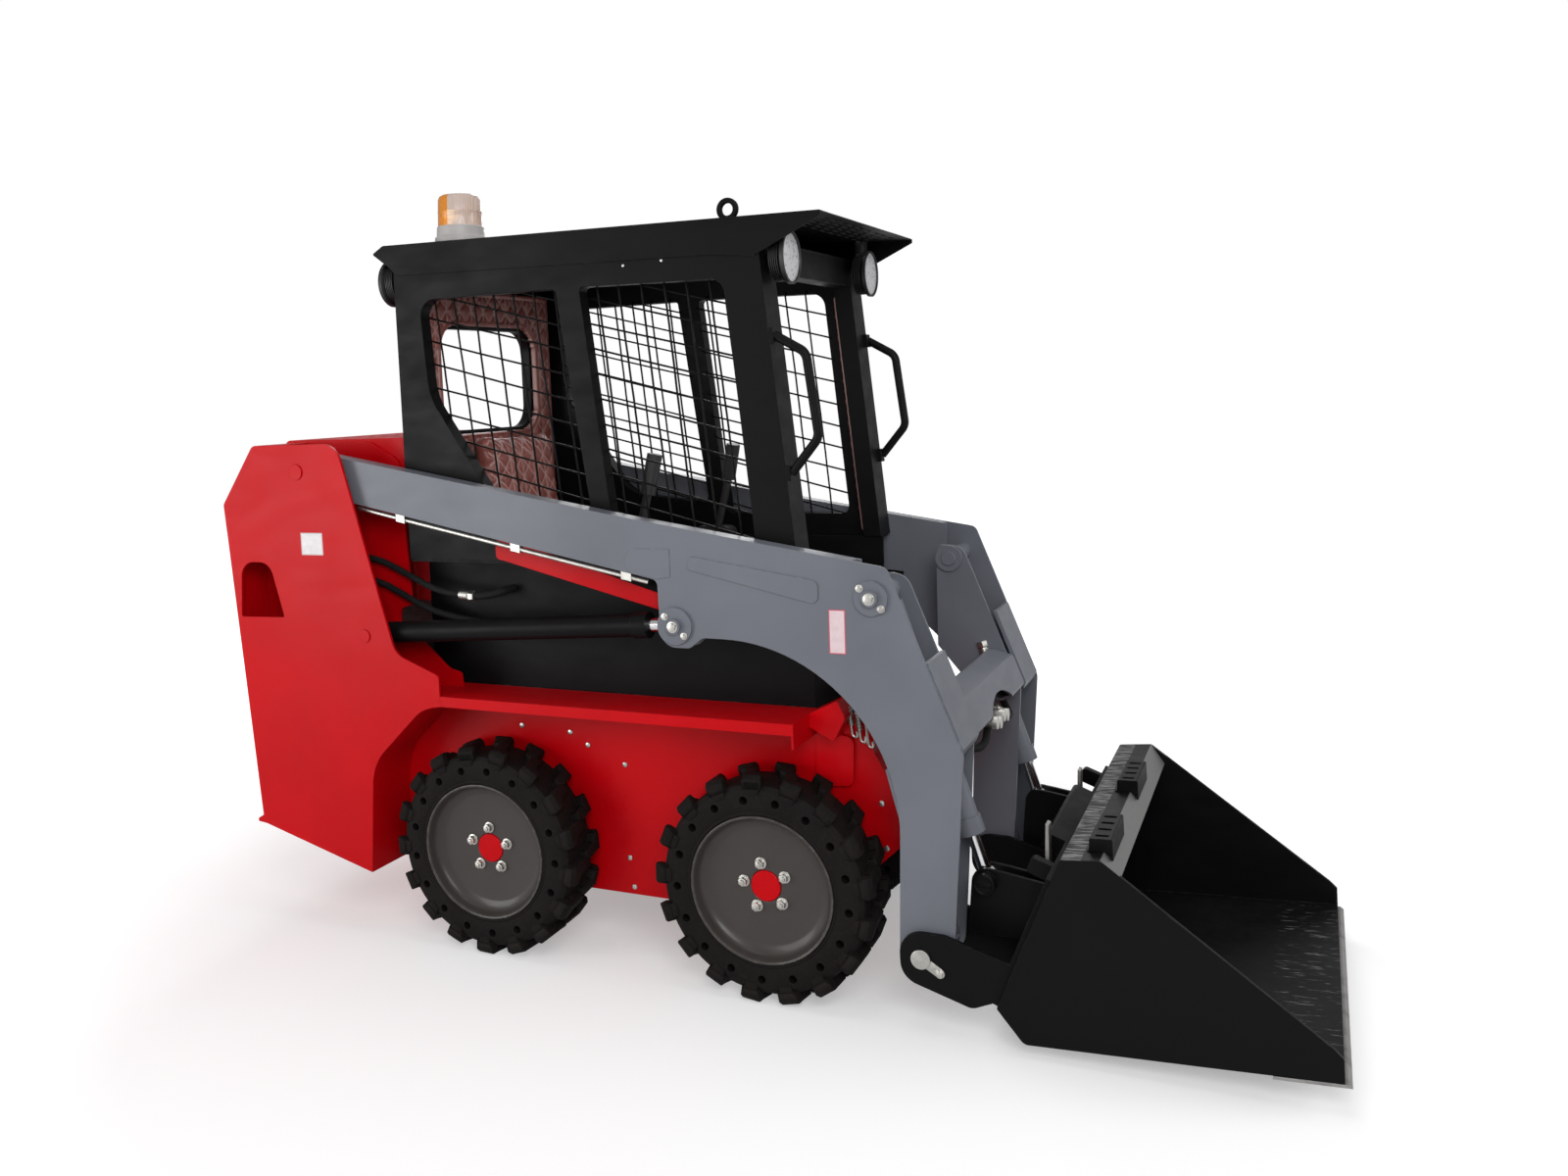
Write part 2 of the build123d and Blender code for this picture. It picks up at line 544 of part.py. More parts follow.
# ---------------------------------------------------------------- lift arms
arm_rows = [(-1003, 1379, 52), (61, 1185, 300), (722, 1075, 25), (890, 655, 40), (864, 215, 60),
            (846, 128, 50), (734, 128, 50), (752, 893, 428), (262, 893, 24), (228, 866, 24),
            (150, 866, 42), (146, 1031, 18), (-1003, 1266, 52)]
leg_rows = [(651, 1040, 12), (722, 1040, 45), (876, 655, 40), (852, 215, 60), (846, 128, 50), (734, 128, 50),
            (752, 640, 90), (651, 760, 0)]
arm_face = outline(arm_rows)
arm_rim_thick = 6
beam_end = 651
closing_rows = [(802, 860, 0), (812, 860, 0), (889, 668, 0), (882, 650, 0), (876, 668, 0)]
cross_rows = [(780, 762, 12), (856, 744, 12), (888, 664, 12), (846, 642, 12), (790, 688, 12)]
arm_rim = arm_face - offset(arm_face, amount=-arm_rim_thick)
rib_rows = [(228, 1060, 10), (236, 1092, 10), (560, 1040, 16), (560, 984, 16)]
overlay_rows = [(61, 1108, 30), (182, 1108, 0), (182, 1040, 0), (146, 1034, 0), (61, 1050, 24)]
for name, side in SIDES.items():
    skin = side_plate(arm_rows, *mirrored(side, arm_outer - arm_plate, arm_outer))
    beam = side_plate(arm_rows, *mirrored(side, arm_inner, arm_inner + beam_plate))
    beam &= box((-1100, beam_end), (-500, 500), (0, 1500))
    leg = side_plate(leg_rows, *mirrored(side, arm_front_inner, arm_front_inner + arm_plate))
    rim_y = mirrored(side, arm_inner + beam_plate, arm_outer - arm_plate)
    rim_wall = Pos(0, rim_y[1], 0) * (Plane.XZ * extrude(arm_rim, rim_y[1] - rim_y[0]))
    rim_wall -= box((640, 1000), (-500, 500), (225, 1200))      # open front and top of the leg
    rim_wall -= box((120, 250), (-500, 500), (800, 1030))       # pocket of the lift rod's eye
    heel_y = mirrored(side, arm_front_inner + arm_plate, arm_outer - arm_plate)
    heel = side_plate([(744, 225, 0), (752, 225, 0), (752, 470, 0), (716, 610, 0), (708, 606, 0), (744, 470, 0)],
                      *heel_y)
    closing = side_plate(closing_rows, *heel_y)
    hinge_boss = cross_rod(lift_hinge_x, lift_hinge_z, 50, *mirrored(
        side, tower_inner + wall + seat_gap, tower_outer - wall - 8 - seat_gap))
    foot_boss = cross_rod(coupler_pin_x, coupler_pin_z, 46, *mirrored(side, arm_front_inner, arm_outer))
    bosses = [cross_rod(arm_pin_x, arm_pin_z, boss_radius, *mirrored(side, arm_outer, arm_outer + 7)),
              cross_rod(tilt_top_x, tilt_top_z, 40, *mirrored(side, arm_outer, arm_outer + 7)),
              cross_rod(arm_pin_x, arm_pin_z, pin_radius, *mirrored(side, arm_outer + 7, arm_outer + 17)),
              cross_rod(tilt_top_x, tilt_top_z, pin_radius, *mirrored(side, arm_front_inner - 12, arm_outer + 17)),
              cross_rod(tilt_top_x, tilt_top_z, 36, *mirrored(side, arm_front_inner - 8, arm_front_inner)),
              cross_rod(tilt_top_x, tilt_top_z, eye_spacer, *mirrored(side, tilt_plane + eye_width / 2 + seat_gap,
                                                              arm_outer - arm_plate)),
              cross_rod(tilt_top_x, tilt_top_z, eye_spacer, *mirrored(side, arm_front_inner + arm_plate,
                                                              tilt_plane - eye_width / 2 - seat_gap))]
    rib = side_plate(rib_rows, *mirrored(side, arm_outer, arm_outer + 3))
    overlay = side_plate(overlay_rows, *mirrored(side, arm_outer, arm_outer + 1.5))
    arm = joined(skin, beam, rim_wall, leg, heel, closing, hinge_boss, foot_boss, rib, overlay, *bosses)
    arm -= cross_rod(lift_hinge_x, lift_hinge_z, hinge_pin_radius + running_gap, -600, 600)
    arm -= cross_rod(coupler_pin_x, coupler_pin_z, pin_radius + running_gap, -600, 600)
    nodes[f"arm_{name}"] = arm

cross_tube = side_plate(cross_rows, -arm_front_inner, arm_front_inner)
cross_face = outline(cross_rows)
cross_tube -= Pos(0, arm_front_inner + 1, 0) * (
    Plane.XZ * extrude(offset(cross_face, amount=-8), 2 * arm_front_inner + 2))
cross_tube -= Pos(850, 0, 480) * Rot(0, 90, 0) * Cylinder(222, 200)
nodes["arm_crossmember"] = cross_tube

# Hydraulic couplings that stand on a small bracket under the cross-member.
couplings = [box((836, 842), (-124, 34), (622, 739))]
for y, drop in ((-104, 0), (-64, 8), (-24, 0), (16, 8)):
    body = Pos(868, y, 650 - drop) * Rot(0, 90, 0) * Cylinder(13, 54)
    collar = Pos(888, y, 650 - drop) * Rot(0, 90, 0) * Cylinder(16, 14)
    elbow = Pos(832, y, 650 - drop) * Rot(0, 90, 0) * Cylinder(9, 20)
    couplings.append(joined(body, collar, elbow))
nodes["quick_couplings"] = together([joined(*couplings)])


def under_beam(x):
    """Height of the beam's lower edge."""
    return 1266 + (x + 1003) * (1031 - 1266) / (146 + 1003)


# Steel pressure lines clipped under each beam.
lines = []
for side in SIDES.values():
    y = side * (arm_outer - 10)
    line = rod_between((-766, y, under_beam(-766) - 12), (118, y, under_beam(118) - 12), 6)
    clips = [side_plate([(x - 14, under_beam(x - 14), 0), (x - 14, under_beam(x - 14) - 20, 0),
                         (x + 14, under_beam(x + 14) - 20, 0), (x + 14, under_beam(x + 14), 0)],
                        y - 9, y + 9) for x in (-620, -260, 60)]
    lines.append(joined(line, *clips))
nodes["arm_pressure_lines"] = together(lines)

# Red prop that is pinned under the near beam and swung down to hold the raised arm.
prop_rows = [(-352, 1118, 14), (-318, 1124, 14), (160, 980, 6), (160, 940, 6), (-322, 1062, 14), (-352, 1068, 14)]
prop = side_plate(prop_rows, -arm_inner, -arm_inner + 4)
nodes["arm_prop"] = prop


# ---------------------------------------------------------------- cylinders
def cylinder_pair(base, tip, plane, side, barrel_radius, rod_radius, barrel_end, rod_start):
    """Barrel with its base eye, and rod with piston and eye, drawn along +X and turned into place."""
    length = hypot(tip[0] - base[0], tip[1] - base[1])
    eye_radius = barrel_radius - 1
    along = Pos(base[0], side * plane, base[1]) * Rot(0, -degrees(atan2(tip[1] - base[1], tip[0] - base[0])), 0)
    half_eye = eye_width / 2
    tube = Pos((tube_start + barrel_end) / 2, 0, 0) * Rot(0, 90, 0) * Cylinder(
        barrel_radius, barrel_end - tube_start)
    neck = Pos(tube_start / 2, 0, 0) * Box(tube_start, 2 * half_eye, 2 * half_eye)
    gland = Pos(barrel_end - 20, 0, 0) * Rot(0, 90, 0) * Cylinder(barrel_radius + 4, 40)
    base_eye = Rot(90, 0, 0) * Cylinder(eye_radius, 2 * half_eye)
    inside = Pos((46 + barrel_end - 42) / 2, 0, 0) * Rot(0, 90, 0) * Cylinder(
        barrel_radius - 6, barrel_end - 42 - 46)
    mouth = Pos(barrel_end - 20, 0, 0) * Rot(0, 90, 0) * Cylinder(rod_radius + running_gap, 60)
    barrel = joined(tube, gland, base_eye, neck) - inside - mouth
    barrel -= Rot(90, 0, 0) * Cylinder(pin_radius + running_gap, 3 * half_eye)
    rod = Pos((rod_start + length) / 2 - 10, 0, 0) * Rot(0, 90, 0) * Cylinder(rod_radius, length - rod_start - 20)
    piston = Pos(rod_start + 10, 0, 0) * Rot(0, 90, 0) * Cylinder(barrel_radius - 6 - running_gap, 20)
    tip_eye = Pos(length, 0, 0) * Rot(90, 0, 0) * Cylinder(28, 2 * half_eye)
    rod = joined(rod, piston, tip_eye) - Pos(length, 0, 0) * Rot(90, 0, 0) * Cylinder(
        pin_radius + running_gap, 3 * half_eye)
    return along * barrel, along * rod


for name, side in SIDES.items():
    nodes[f"lift_barrel_{name}"], nodes[f"lift_rod_{name}"] = cylinder_pair(
        (lift_base_x, lift_base_z), (arm_pin_x, arm_pin_z), lift_plane, side,
        lift_barrel_radius, lift_rod_radius, 850, 250)
    nodes[f"tilt_barrel_{name}"], nodes[f"tilt_rod_{name}"] = cylinder_pair(
        (tilt_top_x, tilt_top_z), (tilt_rod_x, tilt_rod_z), tilt_plane, side,
        tilt_barrel_radius, tilt_rod_radius, 596, 150)

# ---------------------------------------------------------------- coupler and bucket
back_low, back_high = (965, 104), (1104, 460)
back_length = hypot(back_high[0] - back_low[0], back_high[1] - back_low[1])
back_unit = ((back_high[0] - back_low[0]) / back_length, (back_high[1] - back_low[1]) / back_length)


def on_back(up, out):
    """Point measured up along the bucket's back and out of it towards the machine."""
    return (back_low[0] + back_unit[0] * up - back_unit[1] * out,
            back_low[1] + back_unit[1] * up + back_unit[0] * out)


coupler_plate = side_plate([(*on_back(-8, seat_gap), 0), (*on_back(318, seat_gap), 0), (*on_back(318, 12), 0),
                            (*on_back(-8, 12), 0)], -arm_outer - 18, arm_outer + 18)
for middle in (-135, 135):
    coupler_plate -= box((900, 1200), (middle - 95, middle + 95), (190, 320))
barrel_notch = tilt_barrel_radius + 4 + joint_gap
top_bar = side_plate([(*on_back(280, 12), 0), (*on_back(318, 12), 0), (*on_back(318, 60), 10),
                      (*on_back(280, 60), 10)], -arm_inner + 10, arm_inner - 10)
for side in SIDES.values():
    top_bar -= box((900, 1200), mirrored(side, arm_front_inner - 68, tilt_plane + barrel_notch), (300, 500))
ear_rows = [(738, 240, 52), (842, 240, 40), (*on_back(96, 12), 0), (*on_back(-8, 12), 0), (905, 80, 30),
            (742, 128, 52)]
tilt_ear_rows = [(872, 214, 12), (*on_back(110, 12), 0), (*on_back(258, 12), 0), (950, 364, 30), (884, 372, 34)]
ears = []
for side in SIDES.values():
    ears.append(side_plate(ear_rows, *mirrored(side, arm_outer + 6, arm_outer + 18)))
    ears.append(side_plate(ear_rows, *mirrored(side, arm_front_inner - 22, arm_front_inner - 10)))
    ears.append(cross_rod(coupler_pin_x, coupler_pin_z, pin_radius,
                          *mirrored(side, arm_front_inner - 26, arm_outer + 24)))
    for near in (tilt_plane - eye_width / 2 - 13, tilt_plane + eye_width / 2 + 3):
        ears.append(side_plate(tilt_ear_rows, *mirrored(side, near, near + 10)))
    ears.append(cross_rod(tilt_rod_x, tilt_rod_z, 26, *mirrored(
        side, tilt_plane + eye_width / 2 + 13, tilt_plane + eye_width / 2 + 20)))
coupler = joined(coupler_plate, top_bar, *ears)
nodes["coupler_frame"] = coupler

# Two hand levers that lock the bucket on, each with a guide and spring for its wedge.
blade_rows = [on_back(236, 22), on_back(262, 22), on_back(352, 58), on_back(352, 66), on_back(258, 31),
              on_back(236, 31)]
guide_rows = [on_back(150, 12), on_back(176, 12), on_back(176, 40), on_back(150, 40)]
levers = []
for side in SIDES.values():
    y = side * (arm_front_inner - 40)
    pivot_start, pivot_end = on_back(248, 12), on_back(248, 42)
    pivot = rod_between((pivot_start[0], y, pivot_start[1]), (pivot_end[0], y, pivot_end[1]), 9)
    blade = side_plate([(x, z, 0) for x, z in blade_rows], y - 16, y + 16)
    guide = side_plate([(x, z, 0) for x, z in guide_rows], y - 14, y + 14)
    spring_start, spring_end = on_back(170, 27), on_back(242, 27)
    spring = rod_between((spring_start[0], y, spring_start[1]), (spring_end[0], y, spring_end[1]), 9)
    levers.append(joined(pivot, blade, guide, spring))
nodes["lock_levers"] = together(levers)

cheek_outline = [(*back_low, 6), (1024, 32, 20), (1389, 53, 0), (1650, 69, 3), (1648, 119, 3), (1631, 136, 5),
                 (1188, 468, 12), (*back_high, 4)]
shell_path = [(1650, 69), (1389, 53), (1024, 32), back_low, back_high, (1188, 468), (1222, 418)]
shell_rows = [(x, z, 0) for x, z in strip_along(shell_path, -bucket_plate)]
shell = side_plate(shell_rows, -bucket_half + bucket_cheek / 2, bucket_half - bucket_cheek / 2)
cheeks = [side_plate(cheek_outline, *mirrored(side, bucket_half - bucket_cheek, bucket_half))
          for side in SIDES.values()]
nodes["bucket_shell"] = joined(shell, *cheeks)

# Two raised treads with drain slots on the folded top of the bucket.
step_plate = 4
step_rows = [(1156, 466, 0), (1156, 496, 4), (1204, 498, 4), (1206, 452, 0), (1202, 450, 0), (1200, 494, 0),
             (1160, 492, 0), (1160, 466, 0)]
steps = []
for y_low, y_high in ((-430, -250), (20, 200)):
    tread = side_plate(step_rows, y_low, y_high)
    for slot in range(4):
        middle = y_low + (y_high - y_low) / 4 * (slot + 0.5)
        tread -= Pos(1180, middle, 480) * extrude(SlotOverall(30, 14), 30)
    web_rows = [(1160, 466.6, 0), (1160, 492, 0), (1200, 494, 0), (1202, 462, 0), (1190, 467.9, 0)]
    ends = [side_plate(web_rows, end, end + step_plate) for end in (y_low, y_high - step_plate)]
    steps.append(joined(tread, *ends))
nodes["bucket_steps"] = together(steps)

nodes["bucket_edge"] = side_plate([(1520, 53.5, 0), (1664, 62, 0), (1656, 68.4, 0), (1520, 60, 0)],
                                  -bucket_half, bucket_half)

# ---------------------------------------------------------------- files
os.makedirs("parts", exist_ok=True)
for name, shape in nodes.items():
    export_step(Pos(-middle_x, 0, 0) * shape, f"parts/{name}.step")
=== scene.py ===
import json
import math
import random

import bmesh
import bpy
from mathutils import Matrix, Vector

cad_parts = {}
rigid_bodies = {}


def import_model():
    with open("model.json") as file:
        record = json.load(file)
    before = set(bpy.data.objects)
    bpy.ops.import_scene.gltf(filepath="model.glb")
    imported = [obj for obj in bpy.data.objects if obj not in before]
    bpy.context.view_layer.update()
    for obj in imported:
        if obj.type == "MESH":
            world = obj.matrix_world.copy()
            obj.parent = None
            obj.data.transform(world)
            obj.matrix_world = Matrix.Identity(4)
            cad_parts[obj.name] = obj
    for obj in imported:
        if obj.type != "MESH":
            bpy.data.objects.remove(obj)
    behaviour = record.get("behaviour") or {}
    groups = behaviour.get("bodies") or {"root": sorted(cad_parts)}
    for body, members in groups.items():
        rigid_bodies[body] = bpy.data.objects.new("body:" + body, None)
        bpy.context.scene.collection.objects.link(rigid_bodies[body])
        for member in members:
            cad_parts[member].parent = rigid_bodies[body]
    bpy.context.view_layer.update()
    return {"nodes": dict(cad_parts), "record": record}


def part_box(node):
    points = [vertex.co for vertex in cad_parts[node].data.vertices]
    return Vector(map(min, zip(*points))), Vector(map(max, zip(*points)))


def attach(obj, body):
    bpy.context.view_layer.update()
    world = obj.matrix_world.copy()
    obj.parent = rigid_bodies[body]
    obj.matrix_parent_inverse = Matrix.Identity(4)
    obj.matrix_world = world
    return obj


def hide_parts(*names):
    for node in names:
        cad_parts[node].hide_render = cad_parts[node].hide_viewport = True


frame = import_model()
print("stage: frame loaded")

random.seed(7)
nodeObjects = frame["nodes"]
rightAndLeft = (("right", -1), ("left", 1))
scene = bpy.context.scene
for startup in [o for o in bpy.data.objects if o.name in ("Cube", "Light", "Camera")]:
    bpy.data.objects.remove(startup)


# Small helpers for materials.

def startMaterial(name, colour, roughness=0.5, metallic=0.0):
    mat = bpy.data.materials.new(name)
    mat.use_nodes = True
    shader = mat.node_tree.nodes["Principled BSDF"]
    feed(shader, {"Base Color": (*colour, 1), "Roughness": roughness, "Metallic": metallic})
    return mat, mat.node_tree, shader


def addNode(tree, kind, inputs=None, **settings):
    node = tree.nodes.new("ShaderNode" + kind)
    for key, value in settings.items():
        setattr(node, key, value)
    feed(node, inputs or {})
    return node


def feed(node, inputs):
    # an output is linked to its socket, any other value is set on it
    for key, value in inputs.items():
        if hasattr(value, "is_output"):
            node.id_data.links.new(value, node.inputs[key])
        else:
            node.inputs[key].default_value = value


def placeOf(tree, scale=(1, 1, 1)):
    where = addNode(tree, "TexCoord").outputs["Object"]
    return addNode(tree, "Mapping", {"Vector": where, "Scale": scale}).outputs["Vector"]


def grain(tree, scale, detail=3.0, where=None, rough=0.5):
    place = where or placeOf(tree)
    return addNode(tree, "TexNoise", {"Vector": place, "Scale": scale, "Detail": detail,
                                      "Roughness": rough}).outputs["Fac"]


def spread(tree, value, low, high, outLow=0.0, outHigh=1.0):
    return addNode(tree, "MapRange", {"Value": value, "From Min": low, "From Max": high, "To Min": outLow,
                                      "To Max": outHigh}).outputs["Result"]


def contrast(tree, value, outLow=0.0, outHigh=1.0):
    # a noise seldom leaves the range from 0.3 to 0.7, so that range is stretched
    return spread(tree, value, 0.3, 0.7, outLow, outHigh)


def combine(tree, operation, a, b):
    return addNode(tree, "Math", {0: a, 1: b}, operation=operation, use_clamp=True).outputs[0]


def times(tree, a, b):
    return combine(tree, "MULTIPLY", a, b)


def band(tree, value, low, high, blend):
    # one between low and high, fading to nought over blend at either end
    return times(tree, spread(tree, value, low, low + blend), spread(tree, value, high, high - blend))


def scaled(colour, factor):
    return tuple(c * factor for c in colour)


def partsOf(tree, kind, socket):
    return addNode(tree, "SeparateXYZ", {0: addNode(tree, kind).outputs[socket]}).outputs


def cellsOf(tree, scale, feature="F1"):
    cells = addNode(tree, "TexVoronoi", {"Vector": placeOf(tree), "Scale": scale}, feature=feature)
    return cells.outputs["Distance"]


def blendColour(tree, factor, a, b):
    inputs = {"Factor": factor}
    for socket, value in ((6, a), (7, b)):
        inputs[socket] = value if hasattr(value, "is_output") else (*value, 1)
    return addNode(tree, "Mix", inputs, data_type="RGBA").outputs[2]


def edgeMask(tree, radius, gain=6.0):
    rounded = addNode(tree, "Bevel", {"Radius": radius}, samples=6)
    flat = addNode(tree, "NewGeometry").outputs["Normal"]
    dot = addNode(tree, "VectorMath", {0: rounded.outputs["Normal"], 1: flat}, operation="DOT_PRODUCT")
    return spread(tree, dot.outputs["Value"], 1.0, 1.0 - 1.0 / gain), rounded.outputs["Normal"]


def bumpOn(tree, shader, height, strength, distance, normal=None):
    inputs = {"Height": height, "Strength": strength, "Distance": distance}
    if normal is not None:
        inputs["Normal"] = normal
    feed(shader, {"Normal": addNode(tree, "Bump", inputs).outputs["Normal"]})


# Looks: paint with orange peel, worn edges and dust on what faces up, then metal, plastic, vinyl and rubber.

paintLook = {"patchScale": 3.1, "chipScale": 46, "smearScale": 9, "peelScale": 420, "peelDepth": 0.00025,
             "roundedEdge": 0.0022, "dustColour": (0.20, 0.18, 0.16), "coatRoughness": 0.12}
metalLook = {"spotScale": 24, "roundedEdge": 0.0012, "dirtColour": (0.06, 0.05, 0.04), "lineDepth": 0.0002}
plasticLook = {"cloudScale": 12, "pebbleScale": 650, "pebbleDepth": 0.0003}
vinylLook = {"roughness": 0.42, "cloudScale": 14, "poreScale": 420, "poreDepth": 0.0004, "sheen": 0.15}
rubberLook = {"roughness": 0.72, "fineScale": 130, "patchScale": 11, "roundedEdge": 0.0016,
              "grainDepth": 0.0005, "gloss": 0.12}


def paintMaterial(name, colour, worn, roughness, wear, dust, coat, patchy=0.10, gloss=0.2):
    mat, tree, shader = startMaterial(name, colour, roughness)
    large = grain(tree, paintLook["patchScale"], 4)
    fine = grain(tree, paintLook["chipScale"], 5)
    lighter = tuple(min(1, c * (1 + patchy)) for c in colour)
    body = blendColour(tree, spread(tree, large, 0.35, 0.65), scaled(colour, 1 - patchy), lighter)
    edges, rounded = edgeMask(tree, paintLook["roundedEdge"])
    chips = times(tree, edges, spread(tree, fine, 0.62 - wear * 0.3, 0.74))
    body = blendColour(tree, chips, body, worn)
    up = partsOf(tree, "NewGeometry", "Normal")["Z"]
    lying = times(tree, spread(tree, up, 0.3, 1.0, 0, dust), contrast(tree, fine))
    body = blendColour(tree, lying, body, paintLook["dustColour"])
    smear = grain(tree, paintLook["smearScale"], 6, placeOf(tree, (1, 1, 2.5)))
    rough = spread(tree, smear, 0.3, 0.75, roughness * 0.82, roughness * 1.28)
    feed(shader, {"Base Color": body, "Roughness": rough, "Specular IOR Level": gloss, "Coat Weight": coat,
                  "Coat Roughness": paintLook["coatRoughness"]})
    bumpOn(tree, shader, grain(tree, paintLook["peelScale"], 1), 0.12, paintLook["peelDepth"], rounded)
    return mat


def metalMaterial(name, colour, roughness, streakScale, dirty, streak=(1, 1, 1)):
    mat, tree, shader = startMaterial(name, colour, roughness, 1.0)
    lines = grain(tree, streakScale, 4, placeOf(tree, streak))
    spots = grain(tree, metalLook["spotScale"], 6)
    body = blendColour(tree, contrast(tree, lines), scaled(colour, 0.86), colour)
    rounded = edgeMask(tree, metalLook["roundedEdge"])[1]
    grime = times(tree, spread(tree, spots, 0.5, 0.75), dirty)
    feed(shader, {"Base Color": blendColour(tree, grime, body, metalLook["dirtColour"]),
                  "Roughness": spread(tree, lines, 0.2, 0.8, roughness * 0.8, roughness * 1.4)})
    bumpOn(tree, shader, lines, 0.10, metalLook["lineDepth"], rounded)
    return mat


def plasticMaterial(name, colour, roughness):
    mat, tree, shader = startMaterial(name, colour, roughness)
    pebbles = cellsOf(tree, plasticLook["pebbleScale"])
    cloudy = grain(tree, plasticLook["cloudScale"], 4)
    body = blendColour(tree, contrast(tree, cloudy), scaled(colour, 0.85), scaled(colour, 1.15))
    feed(shader, {"Base Color": body, "Roughness": contrast(tree, cloudy, roughness * 0.9, roughness * 1.15)})
    bumpOn(tree, shader, pebbles, 0.25, plasticLook["pebbleDepth"])
    return mat


def vinylMaterial(name, colour, light):
    roughness = vinylLook["roughness"]
    mat, tree, shader = startMaterial(name, colour, roughness)
    creases = spread(tree, cellsOf(tree, vinylLook["poreScale"], feature="DISTANCE_TO_EDGE"), 0.0, 0.12)
    cloudy = grain(tree, vinylLook["cloudScale"], 5)
    body = blendColour(tree, spread(tree, cloudy, 0.35, 0.7), colour, light)
    # the creases of the grain are darkened in colour: painted shade in them
    creaseShade = times(tree, combine(tree, "SUBTRACT", 1.0, creases), 0.5)
    feed(shader, {"Base Color": blendColour(tree, creaseShade, body, scaled(colour, 0.5)),
                  "Roughness": contrast(tree, cloudy, roughness * 0.85, roughness * 1.2),
                  "Sheen Weight": vinylLook["sheen"]})
    bumpOn(tree, shader, creases, 0.3, vinylLook["poreDepth"])
    return mat


def rubberMaterial(name, colour, dust):
    mat, tree, shader = startMaterial(name, colour, rubberLook["roughness"])
    fine = grain(tree, rubberLook["fineScale"], 6)
    large = grain(tree, rubberLook["patchScale"], 5)
    body = blendColour(tree, spread(tree, large, 0.35, 0.7), colour, scaled(colour, 1.5))
    body = blendColour(tree, times(tree, spread(tree, fine, 0.5, 0.75), 0.35), body, dust)
    edges, rounded = edgeMask(tree, rubberLook["roundedEdge"])
    feed(shader, {"Base Color": blendColour(tree, times(tree, edges, 0.3), body, dust),
                  "Roughness": contrast(tree, fine, 0.6, 0.85), "Specular IOR Level": rubberLook["gloss"]})
    bumpOn(tree, shader, fine, 0.35, rubberLook["grainDepth"], rounded)
    return mat


redPaint = paintMaterial("red enamel", (0.53, 0.0005, 0.004), (0.30, 0.02, 0.02), roughness=0.36,
                         wear=0.3, dust=0.02, coat=0.04, patchy=0.06, gloss=0.10)
greyPaint = paintMaterial("blue grey enamel", (0.150, 0.160, 0.185), (0.36, 0.37, 0.38), roughness=0.38,
                          wear=0.4, dust=0.06, coat=0.08, patchy=0.08, gloss=0.22)
blackPaint = paintMaterial("black satin enamel", (0.0045, 0.0045, 0.005), (0.07, 0.07, 0.07), roughness=0.42,
                           wear=0.35, dust=0.015, coat=0.0, patchy=0.10, gloss=0.10)
guardPaint = paintMaterial("guard wire enamel", (0.005, 0.005, 0.005), (0.08, 0.07, 0.06), roughness=0.42,
                           wear=0.2, dust=0.02, coat=0.0, patchy=0.1, gloss=0.1)
rimPaint = paintMaterial("warm dark grey enamel", (0.046, 0.040, 0.037), (0.42, 0.40, 0.38), roughness=0.36,
                         wear=0.5, dust=0.06, coat=0.12, patchy=0.1, gloss=0.3)
ironPaint = paintMaterial("cast iron with paint", (0.030, 0.030, 0.032), (0.10, 0.09, 0.08), roughness=0.55,
                          wear=0.3, dust=0.2, coat=0.0)
chrome = metalMaterial("hard chrome", (0.80, 0.80, 0.81), 0.12, streakScale=60, dirty=0.08)
wornSteel = metalMaterial("scraped steel", (0.42, 0.41, 0.40), 0.36, streakScale=220, dirty=0.5,
                          streak=(2, 0.2, 2))
zincSteel = metalMaterial("zinc plate", (0.62, 0.61, 0.57), 0.34, streakScale=90, dirty=0.3)
tyreRubber = rubberMaterial("solid tyre rubber", (0.0060, 0.0050, 0.0045), (0.030, 0.024, 0.020))
hoseRubber = rubberMaterial("hose rubber", (0.010, 0.010, 0.010), (0.04, 0.038, 0.035))
seatVinyl = vinylMaterial("black seat vinyl", (0.012, 0.012, 0.013), (0.022, 0.022, 0.022))
paddingVinyl = vinylMaterial("dark red padding vinyl", (0.085, 0.016, 0.012), (0.16, 0.045, 0.035))
consolePlastic = plasticMaterial("console plastic", (0.020, 0.020, 0.021), 0.5)
lampPlastic = plasticMaterial("lamp housing plastic", (0.012, 0.012, 0.012), 0.45)
amberPlastic = plasticMaterial("amber plastic", (0.62, 0.20, 0.01), 0.18)

finishes = {"red_paint": redPaint, "grey_paint": greyPaint, "black_paint": blackPaint,
            "guard_wire": guardPaint, "rim_paint": rimPaint, "tyre_rubber": tyreRubber,
            "hub_paint": redPaint, "rod_chrome": chrome, "worn_steel": wornSteel,
            "zinc_steel": zincSteel, "engine_iron": ironPaint, "padding_vinyl": paddingVinyl,
            "seat_vinyl": seatVinyl, "console_plastic": consolePlastic, "lamp_body": lampPlastic,
            "beacon_plastic": amberPlastic}
for row in frame["record"]["subparts"]:
    mesh = nodeObjects[row["node"]].data
    mesh.materials.clear()
    mesh.materials.append(finishes[row["material_slot"]])
print("stage: materials on the carried-over nodes")


# Small helpers for shapes.

def addObject(name, data):
    obj = bpy.data.objects.new(name, data)
    scene.collection.objects.link(obj)
    return obj


def meshFrom(name, bm):
    mesh = bpy.data.meshes.new(name)
    bm.to_mesh(mesh)
    bm.free()
    return mesh


def meshNow(obj):
    # the object's mesh as its modifiers leave it
    return bpy.data.meshes.new_from_object(obj.evaluated_get(bpy.context.evaluated_depsgraph_get()))


def joinClose(bm):
    bmesh.ops.remove_doubles(bm, verts=bm.verts, dist=0.00005)
    bmesh.ops.recalc_face_normals(bm, faces=bm.faces)


